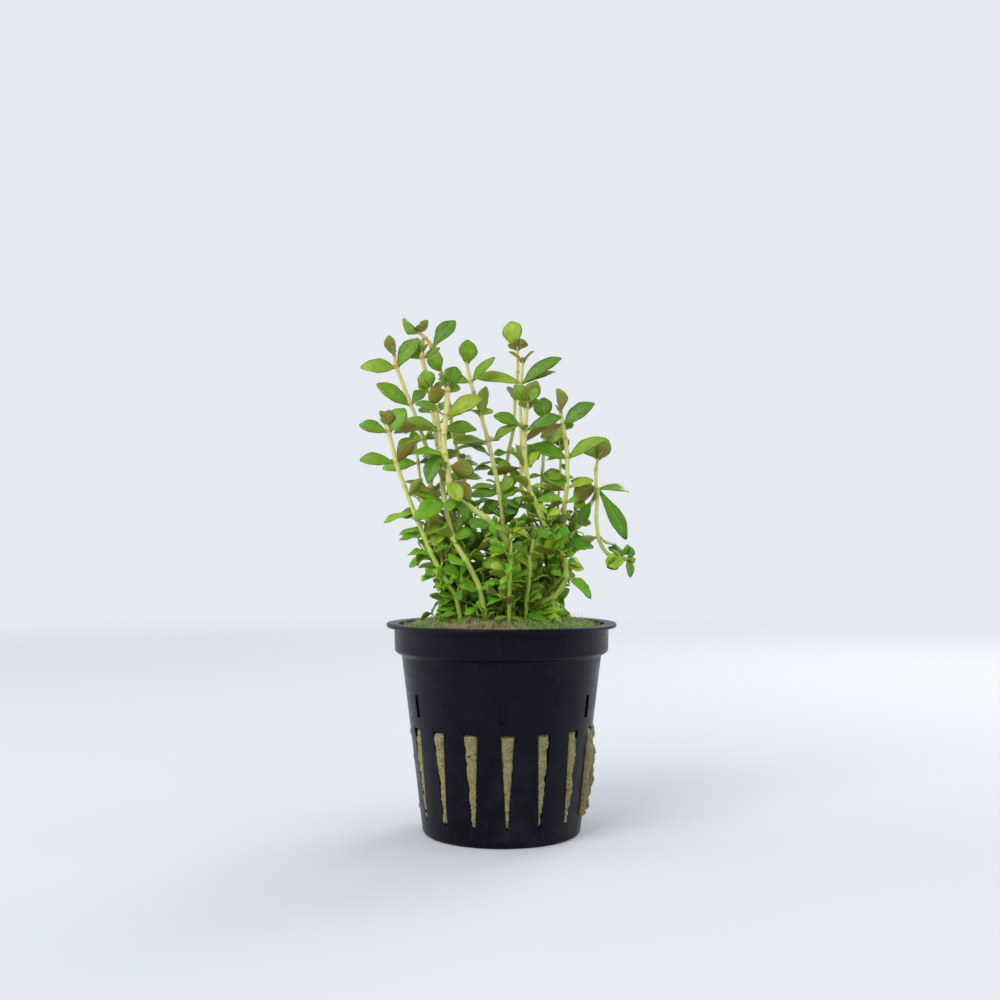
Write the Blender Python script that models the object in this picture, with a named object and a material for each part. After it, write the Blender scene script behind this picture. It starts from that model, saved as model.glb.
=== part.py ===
"""A rotala in its growing pot: a slotted plastic cup, rock wool, and a bunch of leafy shoots.

A standalone Blender 4.5 script: blender --background --python part.py
The scene is in metres with +Z up, and the origin is the centre of the pot's flat base.
All sizes below are millimetres, angles are degrees, and finished() scales each mesh.
"""

import math
import random

import bmesh
import bpy
from mathutils import Matrix, Vector
from mathutils.bvhtree import BVHTree

MM = 0.001
WELD = 0.001

# The pot, a standard net cup with a lip 55 across
POT_HEIGHT = 50.0
LIP_RADIUS = 27.5
LIP_THICK = 1.0
COLLAR_RADIUS = 25.65
COLLAR_FOOT = 43.3
COLLAR_CORNER = 0.6
SHOULDER_HEIGHT = 42.3
BODY_TOP_RADIUS = 23.85
BODY_FOOT_RADIUS = 18.8
FOOT_CORNER = 0.8
WALL = 1.0
FLOOR = 1.2
POT_SIDES = 40

# The tapered upright slots in the pot's lower half
SLOT_COUNT = 16
SLOT_FIRST = 3.8
SLOT_TOP = 26.0
SLOT_BOTTOM = 4.5
SLOT_TOP_WIDTH = 3.4
SLOT_BOTTOM_WIDTH = 0.6

# The rock wool, which stops just short of the pot's wall
GAP = 0.3
WOOL_CROWN = 49.4
WOOL_EDGE = 48.0
WOOL_SIDES = 24
WOOL_RINGS = 4

# The stems
STEM_SIDES = 4
STEM_TAPER = 0.22  # share of its radius that a stem loses on its way up
STEM_TIP = 0.62
STEM_CLEAR = 0.25
STEM_STEP = 0.8  # how finely two stems are compared

# The leaves, each by its sections: how far along it, and the share of its width
LARGE_LEAF = 7.2
LARGE_STATIONS = ((0.40, 0.86), (0.78, 1.0), (1.0, 0.42))
SMALL_STATIONS = ((0.62, 1.0), (1.0, 0.45))
LEAF_BASE = (0.16, 0.4)
LEAF_THICK = 0.34
LEAF_BOW = 0.07  # how far a leaf's middle stands off its straight line, over its length
LEAF_COLLAR = 0.42  # half the length of stem that a pair of leaves grows from
LEAF_DEPTH = 0.9  # a leaf starts this far out in its stem's radius
LEAF_CLEAR = 0.22

# The places tried for a leaf that has no room where the photograph has it
TRIAL_TURNS = (0, 9, -9, 18, -18, 28, -28, 40, -40, 55, -55)
TRIAL_LIFTS = (0, 12, -12)
TRIAL_SIZES = (1.0, 0.86, 0.72)

# The photograph's viewpoint, by how the pot's slots and lip are drawn
EYE_DISTANCE = 300.0
EYE_HEIGHT = 69.6
TOWARDS_VIEWER = Vector((0, -1, 0))

# The short shoots of the thicket at the foot
THICKET_COUNT = 7
THICKET_SEED = 11
THICKET_ROOT_RADIUS = 12.5
THICKET_TRIES = 40
THICKET_GIRTH = 0.45
THICKET_FIRST_NODE = 54.5


def clear_scene():
    for thing in list(bpy.data.objects):
        bpy.data.objects.remove(thing)


def paint(name, colour, roughness):
    material = bpy.data.materials.new(name)
    material.use_nodes = True
    shader = material.node_tree.nodes["Principled BSDF"]
    shader.inputs["Base Color"].default_value = (*colour, 1)
    shader.inputs["Roughness"].default_value = roughness
    shader.inputs["Metallic"].default_value = 0
    material.diffuse_color = (*colour, 1)
    return material


def finished(name, mesh, material, smooth=False):
    """Turns a bmesh in millimetres into an object in metres."""
    bmesh.ops.scale(mesh, vec=(MM, MM, MM), verts=mesh.verts)
    bmesh.ops.recalc_face_normals(mesh, faces=mesh.faces)
    for face in mesh.faces:
        face.smooth = smooth
    data = bpy.data.meshes.new(name)
    mesh.to_mesh(data)
    mesh.free()
    data.materials.append(material)
    obj = bpy.data.objects.new(name, data)
    bpy.context.scene.collection.objects.link(obj)
    return obj


def turned(outline, sides):
    """Spins an outline of (radius, height) points, which starts and ends on the axis."""
    mesh = bmesh.new()
    points = [mesh.verts.new((radius, 0, height)) for radius, height in outline]
    edges = [mesh.edges.new(ends) for ends in zip(points, points[1:])]
    bmesh.ops.spin(
        mesh, geom=points + edges, cent=(0, 0, 0), axis=(0, 0, 1),
        angle=math.tau, steps=sides, use_merge=True,
    )
    bmesh.ops.remove_doubles(mesh, verts=mesh.verts, dist=WELD)
    return mesh


# Pot


def body_radius(height):
    """Radius of the pot's tapered outside at a height."""
    share = height / SHOULDER_HEIGHT
    return BODY_FOOT_RADIUS + (BODY_TOP_RADIUS - BODY_FOOT_RADIUS) * share


def pot_outline():
    lip_foot = POT_HEIGHT - LIP_THICK
    outside = [
        (0, 0),
        (BODY_FOOT_RADIUS - FOOT_CORNER, 0),
        (body_radius(FOOT_CORNER), FOOT_CORNER),
        (BODY_TOP_RADIUS, SHOULDER_HEIGHT),
        (COLLAR_RADIUS - COLLAR_CORNER, COLLAR_FOOT),
        (COLLAR_RADIUS, COLLAR_FOOT + COLLAR_CORNER),
        (COLLAR_RADIUS, lip_foot),
        (LIP_RADIUS, lip_foot),
        (LIP_RADIUS, POT_HEIGHT),
    ]
    inside = [
        (COLLAR_RADIUS - WALL, POT_HEIGHT),
        (COLLAR_RADIUS - WALL, COLLAR_FOOT + WALL),
        (BODY_TOP_RADIUS - WALL, SHOULDER_HEIGHT),
        (body_radius(FLOOR) - WALL, FLOOR),
        (0, FLOOR),
    ]
    return outside + inside


def slot_cutter():
    """All the slots as one set of wedges that narrow downwards."""
    mesh = bmesh.new()
    reach = LIP_RADIUS - BODY_FOOT_RADIUS / 2
    height = SLOT_TOP - SLOT_BOTTOM
    for number in range(SLOT_COUNT):
        wedge = bmesh.ops.create_cube(mesh, size=1)["verts"]
        for vert in wedge:
            width = SLOT_TOP_WIDTH if vert.co.z > 0 else SLOT_BOTTOM_WIDTH
            vert.co = (
                vert.co.x * width,
                -LIP_RADIUS + reach * (vert.co.y + 0.5),
                SLOT_BOTTOM + height * (vert.co.z + 0.5),
            )
        angle = math.radians(SLOT_FIRST + 360 / SLOT_COUNT * number)
        bmesh.ops.rotate(mesh, verts=wedge, matrix=Matrix.Rotation(angle, 3, "Z"))
    return finished("slot_cutter", mesh, paint("cutter", (1, 0, 0), 0.5))


def build_pot():
    plastic = paint("blue-black plastic", (0.021, 0.024, 0.036), 0.38)
    pot = finished("pot", turned(pot_outline(), POT_SIDES), plastic)
    cutter = slot_cutter()
    cutter.hide_render = True
    cutter.display_type = "WIRE"
    cut = pot.modifiers.new("slots", "BOOLEAN")
    cut.operation = "DIFFERENCE"
    cut.object = cutter


# Rock wool


def wool_top(across, back):
    """Height of the wool's domed top."""
    share = math.hypot(across, back) / (COLLAR_RADIUS - WALL - GAP)
    return WOOL_EDGE + (WOOL_CROWN - WOOL_EDGE) * (1 - share * share)


def build_wool():
    rim = COLLAR_RADIUS - WALL - GAP
    outline = [
        (0, FLOOR + GAP),
        (body_radius(FLOOR + GAP) - WALL - GAP, FLOOR + GAP),
        (BODY_TOP_RADIUS - WALL - GAP, SHOULDER_HEIGHT + GAP),
        (rim, COLLAR_FOOT + WALL + GAP),
    ]
    for step in range(WOOL_RINGS + 1):
        radius = rim * (1 - step / WOOL_RINGS)
        outline.append((radius, wool_top(radius, 0)))
    wool = paint("rock wool", (0.25, 0.21, 0.07), 0.95)
    finished("rock_wool", turned(outline, WOOL_SIDES), wool)


# Shoots: how one is described


def root(across, back):
    """Where a shoot's stem meets the wool."""
    return Vector((across, back, wool_top(across, back) + GAP)), []


def node(across, up, back, *leaves):
    """A place on a stem, as the photograph shows it, with the leaves that grow there.

    across and up are measured at the pot's axis, so a place further back lies further out.
    """
    spread = 1 + back / EYE_DISTANCE
    return Vector((across * spread, back, EYE_HEIGHT + (up - EYE_HEIGHT) * spread)), list(leaves)


def leaf(across, up, back, width, lean=0):
    """A leaf by where its tip is from its node, its width, and how far it faces the viewer."""
    return Vector((across, back, up)), width, lean


def pair(turn, length, width, rise=25):
    """Two opposite leaves, the first pointing to the right turned away by turn."""
    out, up = length * math.cos(math.radians(rise)), length * math.sin(math.radians(rise))
    along, away = out * math.cos(math.radians(turn)), out * math.sin(math.radians(turn))
    return leaf(along, up, away, width), leaf(-along, up, -away, width)


# Shoots: name, stem radius, then the stem from its root to its growing tip

SHOOTS = (
    ("shoot_far_left", 0.60, (
        root(-8.6, -0.6),
        node(-10.4, 55.4, -0.6, *pair(70, 5.0, 2.2)),
        node(-12.6, 60.6, -0.4, *pair(160, 5.4, 2.4)),
        node(-14.3, 65.0, 0.0, *pair(80, 6.0, 2.6)),
        node(-16.2, 69.9, 0.6, *pair(10, 6.4, 3.0)),
        node(-17.4, 75.2, 1.2, *pair(100, 6.6, 3.0)),
        node(-17.2, 81.2, 1.8, *pair(20, 6.6, 3.0)),
        node(-16.8, 87.4, 2.2, *pair(110, 7.0, 3.2)),
        node(-18.7, 93.9, 2.0, leaf(3.9, 1.2, 0.6, 2.2, 30), leaf(-3.4, -0.4, 2.6, 2.6, 20)),
        node(-21.8, 102.3, 1.6,
             leaf(-8.4, 4.4, -1.0, 3.4, 50), leaf(0.9, 5.9, -2.0, 3.2, -60), leaf(3.4, 3.6, 1.8, 2.8, 30)),
        node(-25.2, 111.2, 1.2, leaf(-8.6, -0.2, -1.0, 3.2, 50), leaf(5.0, 7.4, 1.5, 3.5, 60)),
        node(-25.7, 114.0, 1.2, leaf(-1.3, 4.7, -0.9, 2.7, -60), leaf(1.3, 4.7, 0.9, 2.7, 60)),
    )),
    ("shoot_left", 0.58, (
        root(-9.2, -7.0),
        node(-10.9, 56.0, -7.2, leaf(-3.9, 0.8, -1.5, 1.9, 30), leaf(-4.1, -2.0, 1.2, 1.6, 20)),
        node(-13.0, 59.4, -7.2, leaf(-2.4, -1.0, -3.0, 2.6, 30), leaf(2.4, 1.4, -2.6, 2.6, 20)),
        node(-14.7, 62.4, -7.0,
             leaf(-4.4, -2.4, -1.0, 1.9, 30), leaf(4.7, -0.6, -1.6, 2.8, 50), leaf(-3.8, -0.4, 2.2, 1.7)),
        node(-16.9, 66.6, -6.6,
             leaf(-5.5, 0.0, -1.2, 2.0, 30), leaf(4.2, 1.8, -2.0, 2.0, 20), leaf(-5.2, -3.6, 1.4, 2.1, 30)),
        node(-18.6, 70.7, -6.0, leaf(-5.7, -1.0, -1.6, 1.9, 20), leaf(-6.6, 0.6, 1.6, 1.7, 20)),
        node(-20.9, 76.2, -5.6,
             leaf(-7.2, -2.2, -1.0, 2.1, 20), leaf(2.4, -0.8, -3.0, 3.2, 40), leaf(-4.0, 3.8, 1.6, 4.2, 60)),
        node(-23.3, 82.6, -5.6),
        node(-25.3, 88.4, -5.6,
             leaf(-8.5, 0.6, -1.0, 2.8, 50), leaf(4.9, 5.2, -1.8, 2.4, -30), leaf(3.6, 7.6, 1.4, 3.5, 60)),
        node(-27.1, 95.7, -5.8, leaf(-6.8, 1.7, -1.0, 2.8, 50), leaf(3.9, 5.6, 1.0, 4.0, 60)),
        node(-27.8, 97.4, -5.8, leaf(-1.3, 3.5, 0.9, 2.4, 60), leaf(0.8, 3.6, -0.9, 2.5, -60)),
    )),
    ("shoot_left_back", 0.42, (
        root(-10.2, 6.4),
        node(-12.4, 58.4, 6.4, *pair(30, 5.0, 2.2)),
        node(-15.4, 65.3, 6.2, *pair(120, 5.6, 2.6)),
        node(-17.6, 72.4, 6.0, *pair(40, 6.0, 2.8)),
        node(-18.8, 78.2, 5.8, *pair(130, 6.2, 2.8)),
        node(-19.3, 82.6, 5.8),
        node(-20.0, 88.2, 5.6, leaf(-8.9, -1.0, 1.0, 3.0, 50), leaf(3.5, 0.5, 1.0, 2.0, 20)),
        node(-20.6, 92.4, 5.6, leaf(-0.8, 3.6, 1.0, 2.0), leaf(1.4, 3.4, -0.8, 2.0)),
    )),
    ("shoot_centre_left", 0.66, (
        root(-3.4, -10.0),
        node(-5.2, 57.9, -9.8, leaf(-4.3, 1.0, -2.0, 3.0, 40), leaf(3.6, 1.4, -2.6, 2.8, 20)),
        node(-8.5, 64.7, -8.8, leaf(-3.6, -0.4, -3.6, 4.3, 40), leaf(3.4, 2.0, 2.8, 3.0)),
        node(-11.6, 70.4, -7.0, leaf(4.4, 0.6, -2.8, 3.6, 30), leaf(-3.6, 1.6, -2.6, 3.0, 20)),
        node(-13.6, 78.8, -3.9,
             leaf(-8.2, -6.4, -2.5, 4.0, 50), leaf(-8.2, 2.9, 0.6, 2.4, 20), leaf(3.0, 1.0, 3.6, 3.0)),
        node(-14.1, 83.0, -2.0),
        node(-14.6, 88.4, 0.2, *pair(80, 6.0, 3.0)),
        node(-15.3, 92.5, 1.4),
        node(-16.4, 100.4, 2.4, leaf(3.2, 1.9, 1.6, 2.2, 20), leaf(-3.4, 1.4, 3.0, 2.6, 20)),
        node(-18.0, 109.0, 2.0),
        node(-19.0, 113.3, 1.8, leaf(-3.0, 1.9, 1.6, 3.0, 30), leaf(4.3, 2.6, 1.0, 2.0, 20)),
        node(-19.0, 114.6, 1.8, leaf(0.4, 3.8, 0.9, 3.0, 60), leaf(-0.6, 3.0, -0.9, 2.3, -60)),
    )),
    ("shoot_fork_left", 0.55, (
        root(-5.6, 2.6),
        node(-8.0, 62.0, 1.6, *pair(60, 5.4, 2.6)),
        node(-10.2, 69.7, 0.2, *pair(150, 5.8, 2.8)),
        node(-11.6, 76.9, -1.6, *pair(50, 6.0, 2.8)),
        node(-12.6, 82.9, -3.9),
        node(-13.7, 88.6, -3.2),
        node(-14.5, 91.8, -2.4),
        node(-14.9, 95.8, -1.8, leaf(-8.4, -0.4, -1.0, 3.4, 15), leaf(8.9, 0.6, 1.2, 3.6, 35)),
        node(-15.6, 100.6, -1.5),
        node(-16.9, 105.2, -1.6, leaf(3.4, 2.9, 1.5, 1.8, 20), leaf(-3.0, 2.4, 1.6, 2.4, 20)),
        node(-17.0, 106.2, -1.6, leaf(-1.4, 4.2, 1.0, 3.7, 70), leaf(0.8, 2.6, -0.9, 2.2, -60)),
    )),
    ("shoot_back_left", 0.56, (
        root(-2.6, 9.6),
        node(-4.6, 60.0, 9.8, *pair(30, 5.2, 2.6)),
        node(-6.2, 68.0, 9.8, *pair(120, 5.8, 2.8)),
        node(-7.6, 77.2, 9.6, *pair(20, 6.2, 2.8)),
        node(-9.1, 84.3, 9.4, leaf(-4.5, 0.8, 1.6, 2.4, 20), leaf(4.6, 0.6, 1.4, 2.4, 20)),
        node(-10.3, 90.1, 9.2, leaf(3.0, -1.5, -2.2, 2.8, -30), leaf(-2.8, -0.4, 2.4, 2.4, 20)),
        node(-11.8, 95.9, 9.2, leaf(2.9, -2.9, -1.2, 2.6, 30), leaf(-1.9, -1.4, 2.0, 2.2, 20)),
        node(-12.4, 101.8, 9.2, leaf(4.8, -1.4, -1.4, 2.4, 30), leaf(-2.6, 1.4, 3.2, 2.8)),
        node(-14.3, 109.5, 9.6),
        node(-16.7, 115.9, 10.0, leaf(5.6, 7.0, 2.4, 3.8, 60), leaf(1.9, -6.2, -2.2, 3.3, 40)),
        node(-18.1, 118.0, 10.0),
        node(-19.7, 119.4, 10.0,
             leaf(-4.2, 3.6, 1.2, 3.6, 65), leaf(2.0, 3.4, 0.8, 2.0, -60), leaf(0.3, 2.2, -1.0, 1.6, -60)),
    )),
    ("shoot_front", 0.72, (
        root(2.6, -7.4),
        node(2.8, 57.7, -7.0, leaf(-4.2, 1.6, -2.6, 3.0, 20), leaf(4.0, 1.4, -2.8, 3.0, 20)),
        node(2.9, 63.4, -6.9, leaf(1.0, -3.2, -3.4, 3.0, 30), leaf(-3.0, 2.0, 3.0, 3.0)),
        node(1.8, 68.2, -6.8, leaf(3.6, -1.0, -2.0, 2.8, 30), leaf(-4.4, -1.2, -2.4, 3.2, 30)),
        node(-0.6, 71.8, -6.6),
        node(-3.7, 74.9, -6.6, leaf(-3.4, -2.2, -2.6, 3.8, 40), leaf(1.4, -4.4, 1.6, 2.6, 20)),
        node(-7.6, 77.6, -6.6),
        node(-10.9, 80.0, -6.6, leaf(3.4, -5.4, -1.6, 2.0, 30), leaf(-1.8, -3.4, -3.0, 2.6, 30)),
        node(-12.5, 83.6, -6.6, leaf(0.5, -5.3, -3.4, 3.3, 40), leaf(5.0, -4.2, 0.6, 3.8, -45)),
        node(-12.8, 87.2, -6.4, leaf(6.2, -1.0, 0.6, 3.9, -50), leaf(-2.0, 1.0, -3.0, 2.0, 20)),
        node(-13.6, 90.3, -6.4,
             leaf(-8.5, 0.2, 0.8, 3.0, 10), leaf(-3.4, -6.6, -3.4, 4.6, 45)),
        node(-13.8, 94.9, -6.2),
        node(-13.3, 99.7, -6.2, leaf(-7.2, 2.6, -1.0, 3.2, 15), leaf(8.5, 3.7, -1.5, 3.8, 50)),
        node(-13.0, 105.2, -6.2, leaf(-4.4, -2.0, -2.0, 3.8, -60), leaf(2.6, 2.0, 2.4, 2.4, 30)),
        node(-13.0, 106.4, -6.2, leaf(1.9, 5.0, 1.0, 3.6, 70), leaf(-1.4, 3.4, -0.9, 2.2, 40)),
    )),
    ("shoot_centre", 0.58, (
        root(0.8, 1.4),
        node(0.8, 57.8, 1.4, *pair(20, 5.4, 2.8)),
        node(0.7, 63.8, 1.4, *pair(110, 5.8, 2.8)),
        node(0.6, 69.8, 1.3, *pair(30, 6.0, 3.0)),
        node(0.2, 75.2, 1.2, leaf(-3.4, 2.4, -1.0, 2.2, 20), leaf(5.0, 4.8, -1.0, 2.6, 30)),
        node(-0.5, 81.0, 1.0, leaf(-7.2, -0.6, -1.0, 2.6, 30), leaf(3.4, 3.7, -0.6, 3.0, 40)),
        node(-1.7, 87.0, 1.0, leaf(-5.0, -0.2, 1.0, 1.9, 20), leaf(3.9, 1.0, -1.0, 2.0, 20)),
        node(-3.2, 93.4, 1.0, leaf(-8.4, -0.4, -1.0, 3.2, 20), leaf(2.2, 0.8, 4.0, 2.8)),
        node(-4.9, 99.7, 1.0,
             leaf(2.9, 1.4, 1.5, 2.2, 20), leaf(-3.2, 1.0, -0.8, 2.7, 30), leaf(-0.2, 7.0, -2.0, 2.8)),
        node(-6.6, 105.0, 0.8),
        node(-7.4, 107.7, 0.8, leaf(-7.9, 1.2, 1.8, 2.8, 30), leaf(6.0, 5.6, -0.8, 2.6, 35)),
        node(-8.4, 112.2, 0.8, leaf(0.2, 5.7, 0.9, 3.9, 75), leaf(-2.6, 2.0, -0.9, 2.8, -60)),
    )),
    ("shoot_tallest", 0.50, (
        root(2.6, 7.6),
        node(2.2, 60.0, 7.6, *pair(70, 5.4, 2.6)),
        node(1.4, 67.5, 7.6, *pair(160, 5.8, 2.8)),
        node(0.6, 75.0, 7.4, *pair(75, 6.0, 2.8)),
        node(0.6, 82.2, 7.0, *pair(165, 5.0, 2.4)),
        node(1.7, 90.7, 6.4, leaf(-3.6, -0.4, -1.0, 2.0, 20), leaf(2.6, 0.2, 2.6, 2.6, 20)),
        node(2.8, 96.3, 5.8),
        node(3.3, 103.5, 5.2, *pair(80, 5.6, 2.8)),
        node(3.9, 110.0, 4.7),
        node(3.8, 116.0, 4.5,
             leaf(-1.4, 6.6, 1.0, 4.2, 70), leaf(0.6, 2.4, -1.0, 1.9, -60), leaf(2.3, 1.4, 0.6, 1.2)),
    )),
    ("shoot_middle_back", 0.50, (
        root(8.4, 3.8),
        node(8.6, 58.9, 3.6, *pair(40, 5.4, 2.6)),
        node(8.4, 64.9, 3.4, *pair(130, 5.6, 2.8)),
        node(7.8, 71.0, 3.2, leaf(-6.2, 2.6, -1.0, 2.0, 20), leaf(3.4, 1.4, 3.4, 2.8)),
        node(6.6, 76.2, 2.9),
        node(5.6, 79.6, 2.7, leaf(-5.6, -6.8, -1.8, 2.7, -50), leaf(2.8, 1.6, 3.2, 2.6)),
        node(4.8, 82.8, 2.5),
        node(4.8, 87.0, 2.3, leaf(-8.4, -1.6, -1.0, 2.4, -35), leaf(2.4, 0.8, 4.0, 2.6)),
        node(4.8, 92.2, 2.2),
        node(4.7, 97.5, 2.1, leaf(-6.6, 2.2, -0.8, 2.8, 45), leaf(-6.8, -3.6, 0.8, 2.4, 25)),
        node(4.4, 103.3, 2.1),
        node(4.7, 107.4, 2.2,
             leaf(-11.2, 1.6, -0.5, 3.0, 35), leaf(9.6, 6.5, 0.8, 3.2, 40), leaf(8.8, 3.2, -1.4, 2.3, 20)),
        node(5.1, 112.2, 2.4,
             leaf(2.9, 3.0, 0.8, 3.2), leaf(-3.2, 3.0, 0.6, 1.3), leaf(1.0, 1.9, -1.2, 1.7)),
    )),
    ("shoot_middle", 0.70, (
        root(6.8, -5.6),
        node(9.2, 54.3, -5.4),
        node(12.2, 55.8, -5.1, leaf(0.6, -2.6, -2.6, 2.2, 20), leaf(-1.4, 3.0, 2.0, 2.4)),
        node(14.4, 58.2, -4.7),
        node(15.4, 61.0, -4.4, leaf(6.2, -5.0, -1.0, 2.6, 30), leaf(-3.6, 1.0, -2.2, 2.6, 20)),
        node(15.2, 64.6, -4.0, leaf(4.1, -1.4, 1.2, 2.6, 30), leaf(-3.2, 2.2, -1.4, 2.6, 20)),
        node(13.3, 67.9, -3.7, leaf(-7.4, -2.3, -1.8, 3.0, -45), leaf(3.0, 1.8, 2.6, 2.6)),
        node(11.4, 71.6, -3.3, leaf(-3.4, -0.8, -2.0, 2.2, 20), leaf(2.6, 0.8, -3.0, 2.4, 20)),
        node(9.5, 75.6, -3.1),
        node(8.0, 79.0, -3.0, leaf(6.5, 0.6, -0.8, 2.5, 25), leaf(-3.2, 0.8, -2.6, 2.8, 20)),
        node(6.6, 82.4, -3.0, leaf(4.1, -0.2, 0.8, 2.0, 10), leaf(-2.8, 3.4, -1.4, 3.0, 20)),
        node(5.8, 87.3, -3.0, leaf(3.1, 3.8, 1.2, 2.2, 30), leaf(-2.8, 4.2, -1.0, 2.8, 20)),
        node(5.5, 91.8, -3.0),
        node(5.6, 96.1, -3.0, leaf(8.5, 3.4, -0.8, 2.8, 45), leaf(-1.4, 0.8, -4.4, 2.8)),
        node(6.0, 101.4, -3.0, leaf(2.9, 2.4, 1.5, 2.4, 10), leaf(-1.6, 1.4, -2.2, 1.7)),
        node(6.0, 102.7, -3.0, leaf(-2.7, 4.4, 0.9, 3.0, 60), leaf(2.3, 5.1, -0.9, 3.3, -65)),
    )),
    ("shoot_right", 0.60, (
        root(10.6, -0.2),
        node(12.1, 60.6, -0.2, *pair(30, 5.4, 2.6)),
        node(13.5, 65.6, -0.2, *pair(120, 5.6, 2.6)),
        node(14.2, 69.4, 0.0, leaf(8.1, -1.0, -1.4, 3.0, 45), leaf(-3.8, 1.4, 2.6, 2.6)),
        node(14.8, 73.6, 0.2, *pair(100, 5.8, 2.8)),
        node(15.2, 78.8, 0.4, leaf(-4.3, -1.7, -1.2, 2.2, -20), leaf(2.6, 0.2, -3.0, 2.4, 20)),
        node(15.7, 82.4, 0.4, leaf(-5.3, 3.6, 0.6, 3.4, 45), leaf(6.4, 1.4, -0.8, 2.7, 25)),
        node(15.8, 89.4, 0.4, leaf(9.2, 5.0, -1.2, 3.0, 35), leaf(-9.0, 2.8, -0.8, 3.4, 40)),
        node(15.3, 94.0, 0.3),
        node(14.7, 97.5, 0.2,
             leaf(7.5, 5.2, -0.6, 3.5, 60), leaf(-5.2, -3.6, -1.4, 2.7, -30), leaf(-3.4, -4.2, 3.0, 3.4, 30)),
        node(14.2, 100.4, 0.2, leaf(-0.7, 5.6, -1.0, 3.6, -70), leaf(0.8, 4.4, 1.0, 2.8, 50)),
    )),
    ("shoot_back_right", 0.50, (
        root(5.4, 11.6),
        node(7.6, 59.0, 11.2, *pair(60, 5.2, 2.6)),
        node(9.3, 67.0, 10.4, *pair(150, 5.8, 2.8)),
        node(9.6, 74.6, 9.6, *pair(60, 6.0, 2.8)),
        node(9.6, 80.4, 9.0, *pair(150, 5.4, 2.6)),
        node(9.8, 85.3, 8.6, leaf(-3.3, -0.8, -1.0, 1.6, 10), leaf(3.0, 1.0, 3.0, 2.6)),
        node(10.1, 90.6, 8.2),
        node(10.4, 95.6, 8.0, leaf(-2.8, 0.6, 3.0, 2.6), leaf(3.2, 1.6, 2.6, 2.8)),
        node(10.6, 99.0, 8.0, leaf(-0.9, 5.1, 1.2, 4.0, 60), leaf(0.9, 3.4, -1.2, 2.2, -50)),
    )),
    ("shoot_back_thin", 0.36, (
        root(11.4, 10.6),
        node(12.8, 64.9, 12.0, *pair(30, 5.0, 2.4)),
        node(13.4, 74.5, 12.8, *pair(120, 5.0, 2.4)),
        node(13.9, 83.0, 13.2, *pair(40, 5.0, 2.4)),
        node(14.2, 89.4, 13.2, leaf(-3.3, -0.4, -0.6, 1.6, 10), leaf(2.6, 1.0, 1.8, 2.0)),
        node(13.8, 92.6, 13.2, leaf(-2.2, 2.8, 0.9, 2.8, 20), leaf(1.9, 1.8, -0.9, 2.0)),
    )),
    ("shoot_far_right", 0.50, (
        root(12.8, 4.8),
        node(13.0, 58.9, 4.6, *pair(80, 5.2, 2.6)),
        node(14.4, 65.9, 4.4, *pair(10, 5.4, 2.6)),
        node(16.9, 71.4, 3.9, *pair(100, 5.4, 2.6)),
        node(19.8, 75.8, 3.4),
        node(22.0, 79.4, 3.0),
        node(22.7, 82.0, 2.8,
             leaf(7.5, -12.4, 0.9, 3.7, 35), leaf(-5.8, -3.0, -1.4, 4.2, -50), leaf(8.3, -0.2, 2.0, 2.4, 20)),
        node(22.7, 86.5, 2.8),
        node(23.2, 89.2, 2.8,
             leaf(2.4, 4.6, -1.0, 3.0, -60), leaf(-2.6, 5.2, 0.9, 3.6, 65), leaf(-0.9, 3.0, -1.6, 2.8, -60),
             leaf(0.9, 6.8, 1.4, 3.8, 70)),
    )),
    ("shoot_far_right_hanging", 0.45, (
        node(23.1, 80.6, 1.5),
        node(22.8, 75.2, 1.4),
        node(23.3, 70.4, 1.3, leaf(3.7, -2.6, -0.6, 2.2, 10), leaf(-4.0, 0.2, 0.9, 2.2, -20)),
        node(24.2, 68.0, 1.3),
        node(25.5, 66.4, 1.2),
        node(27.1, 65.8, 1.1),
        node(28.7, 65.6, 1.0, leaf(1.6, 3.0, -1.2, 3.0, 30), leaf(-3.4, -2.6, -1.0, 2.6, 40)),
        node(30.2, 65.2, 1.0, leaf(0.8, -4.6, 0.5, 2.1, 30), leaf(1.4, 2.8, 1.0, 2.4, 20)),
    )),
)


def low_shoot(name, angle, chance):
    """A short leafy shoot whose root is at an angle around the foot, leaning outwards."""
    lean = Vector((math.cos(angle), math.sin(angle)))
    base = lean * THICKET_ROOT_RADIUS * chance.uniform(0.6, 1.0)
    top = chance.uniform(72, 84)
    places = [root(base.x, base.y)]
    height, turn = THICKET_FIRST_NODE, chance.uniform(0, 180)
    while height < top:
        out = base + lean * (height - WOOL_CROWN) * chance.uniform(0.14, 0.2)
        size = chance.uniform(4.6, 6.4)
        places.append(node(out.x, height, out.y, *pair(turn, size, size * 0.5, 20)))
        height += chance.uniform(4.8, 6.0)
        turn += 90 + chance.uniform(-20, 20)
    return Shoot(name, THICKET_GIRTH, places)


def thicket(shoots):
    """Adds the low shoots, each at the first place tried that is clear of every stem."""
    chance = random.Random(THICKET_SEED)
    for number in range(THICKET_COUNT):
        for _ in range(THICKET_TRIES):
            angle = math.tau * (number + chance.uniform(-0.45, 0.45)) / THICKET_COUNT
            shoot = low_shoot(f"shoot_low_{number + 1}", angle, chance)
            if all(far_enough(shoot, other) and far_enough(other, shoot) for other in shoots):
                shoots.append(shoot)
                break


# Shoots: the stem


def stem_radius(girth, number, count):
    """Nearly even along the stem, and thin below the growing tip."""
    if number == count - 1:
        return girth * STEM_TIP
    return girth * (1 - STEM_TAPER * number / count)


def stem_directions(points):
    """The stem's direction at each place, between those of its neighbours."""
    steps = [(after - before).normalized() for before, after in zip(points, points[1:])]
    inner = [(before + after).normalized() for before, after in zip(steps, steps[1:])]
    return [steps[0], *inner, steps[-1]]


def facing(side, direction):
    """The part of a vector that is square to the stem, as a unit vector."""
    return (side - direction * side.dot(direction)).normalized()


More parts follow.
